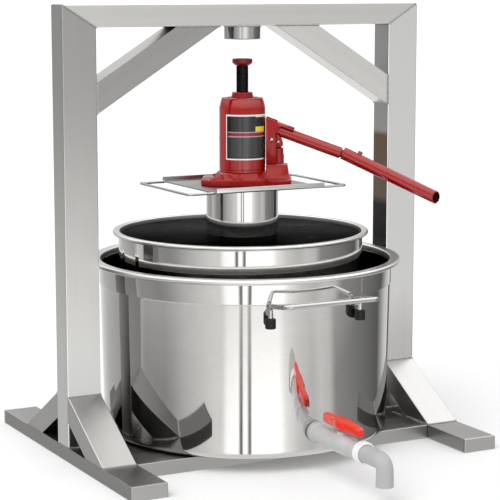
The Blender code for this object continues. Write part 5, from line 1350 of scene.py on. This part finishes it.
def studio_world(settings):
    """A studio of pale and dark panels for what steel reflects, and even light for the rest."""
    world = bpy.data.worlds.new("studio")
    world.use_nodes = True
    tree = world.node_tree
    tree.nodes.clear()
    toward = add_node(tree, "ShaderNodeTexCoord").outputs["Generated"]
    camera_side = math.atan2(CAMERA_PLACE[1], CAMERA_PLACE[0])
    turned_way = add_node(tree, "ShaderNodeVectorRotate", {"rotation_type": "Z_AXIS"}, Vector=toward,
                          Angle=-camera_side).outputs[0]
    ahead, right, up = parts(tree, turned_way)
    share = math_node(tree, "MULTIPLY_ADD", math_node(tree, "ARCTAN2", right, ahead), 1 / (2 * math.pi), 0.5)
    panels = ramped(tree, share, [(degrees / 360 + 0.5, (bright, bright, bright * 0.985))
                                  for degrees, bright in STUDIO_BANDS])
    overhead = ranged(tree, up, 0.20, 0.60, 0.36, 1.5)
    seen = mixed(tree, ranged(tree, up, 0.02, 0.10), panels, overhead)
    reflected = mixed(tree, ranged(tree, up, -0.42, -0.75), seen, BELOW_COLOUR)
    studio = add_node(tree, "ShaderNodeBackground", Color=reflected, Strength=1.0).outputs[0]
    even = add_node(tree, "ShaderNodeBackground", Color=(1.0, 1.0, 1.0, 1.0),
                    Strength=settings.fill).outputs[0]
    glossy = add_node(tree, "ShaderNodeLightPath").outputs["Is Glossy Ray"]
    both = add_node(tree, "ShaderNodeMixShader", Fac=glossy, input1=even, input2=studio).outputs[0]
    add_node(tree, "ShaderNodeOutputWorld", Surface=both)
    return world


class FRUIT_PRESS_OT_stage(bpy.types.Operator):
    """Lay the floor, and set the light and the camera"""
    bl_idname = "fruit_press.stage"
    bl_label = "Floor, Light and Camera"

    def execute(self, context):
        settings = context.scene.fruit_press_studio
        floor_mesh = bpy.data.meshes.new("floor")
        corners = rectangle((-FLOOR_REACH, -FLOOR_REACH), (FLOOR_REACH, FLOOR_REACH), 0.0)[:4]
        floor_mesh.from_pydata(corners, [], [(0, 1, 2, 3)])
        floor_mesh.materials.append(floor_paint("floor_paint", tuple(settings.floor)))
        floor = link("floor", floor_mesh)
        floor.visible_glossy = False
        context.scene.world = studio_world(settings)
        sun = bpy.data.lights.new("soft_key", "SUN")
        sun.energy = settings.key
        sun.angle = KEY_WIDTH
        key = link("soft_key", sun)
        key.rotation_euler = KEY_TURN
        key.visible_glossy = False
        lens = bpy.data.cameras.new("camera")
        lens.sensor_width = CAMERA_SENSOR
        lens.lens = CAMERA_LENS
        lens.clip_end = FAR_CLIP
        camera = link("camera", lens)
        camera.location = CAMERA_PLACE
        camera.rotation_euler = (QUARTER - CAMERA_FALL, 0.0, CAMERA_HEADING)
        context.scene.camera = camera
        context.scene.view_settings.view_transform = "Standard"
        return {"FINISHED"}


class FRUIT_PRESS_PT_panel(bpy.types.Panel):
    """Sizes, colours and the steps that make the press"""
    bl_idname = "FRUIT_PRESS_PT_panel"
    bl_label = "Fruit Press"
    bl_space_type = "VIEW_3D"
    bl_region_type = "UI"
    bl_category = "Fruit Press"

    def draw(self, context):
        for name in GROUPS:
            settings = getattr(context.scene, name)
            box = self.layout.box()
            box.label(text=name.rsplit("_", 1)[1].capitalize())
            for field in settings.bl_rna.properties.keys():
                if field not in {"rna_type", "name"}:
                    box.prop(settings, field)
        steps = self.layout.column()
        for step in STEPS:
            steps.operator(step.bl_idname)


STEPS = (FRUIT_PRESS_OT_stage, FRUIT_PRESS_OT_frame_tubes, FRUIT_PRESS_OT_juice_pot,
         FRUIT_PRESS_OT_straining_pot, FRUIT_PRESS_OT_pot_handles, FRUIT_PRESS_OT_tap,
         FRUIT_PRESS_OT_press_plate, FRUIT_PRESS_OT_jack, FRUIT_PRESS_OT_label, FRUIT_PRESS_OT_pump,
         FRUIT_PRESS_OT_welds)
GROUPS = {"fruit_press_pots": FruitPressPots, "fruit_press_details": FruitPressDetails,
          "fruit_press_colours": FruitPressColours, "fruit_press_studio": FruitPressStudio}


def register():
    for name, group in GROUPS.items():
        bpy.utils.register_class(group)
        setattr(bpy.types.Scene, name, PointerProperty(type=group))
    for step in (*STEPS, FRUIT_PRESS_PT_panel):
        bpy.utils.register_class(step)


def unregister():
    for step in reversed((*STEPS, FRUIT_PRESS_PT_panel)):
        bpy.utils.unregister_class(step)
    for name, group in GROUPS.items():
        delattr(bpy.types.Scene, name)
        bpy.utils.unregister_class(group)


def main():
    register()
    for step in STEPS:
        folder, name = step.bl_idname.split(".")
        getattr(getattr(bpy.ops, folder), name)()


if __name__ == "__main__":
    main()
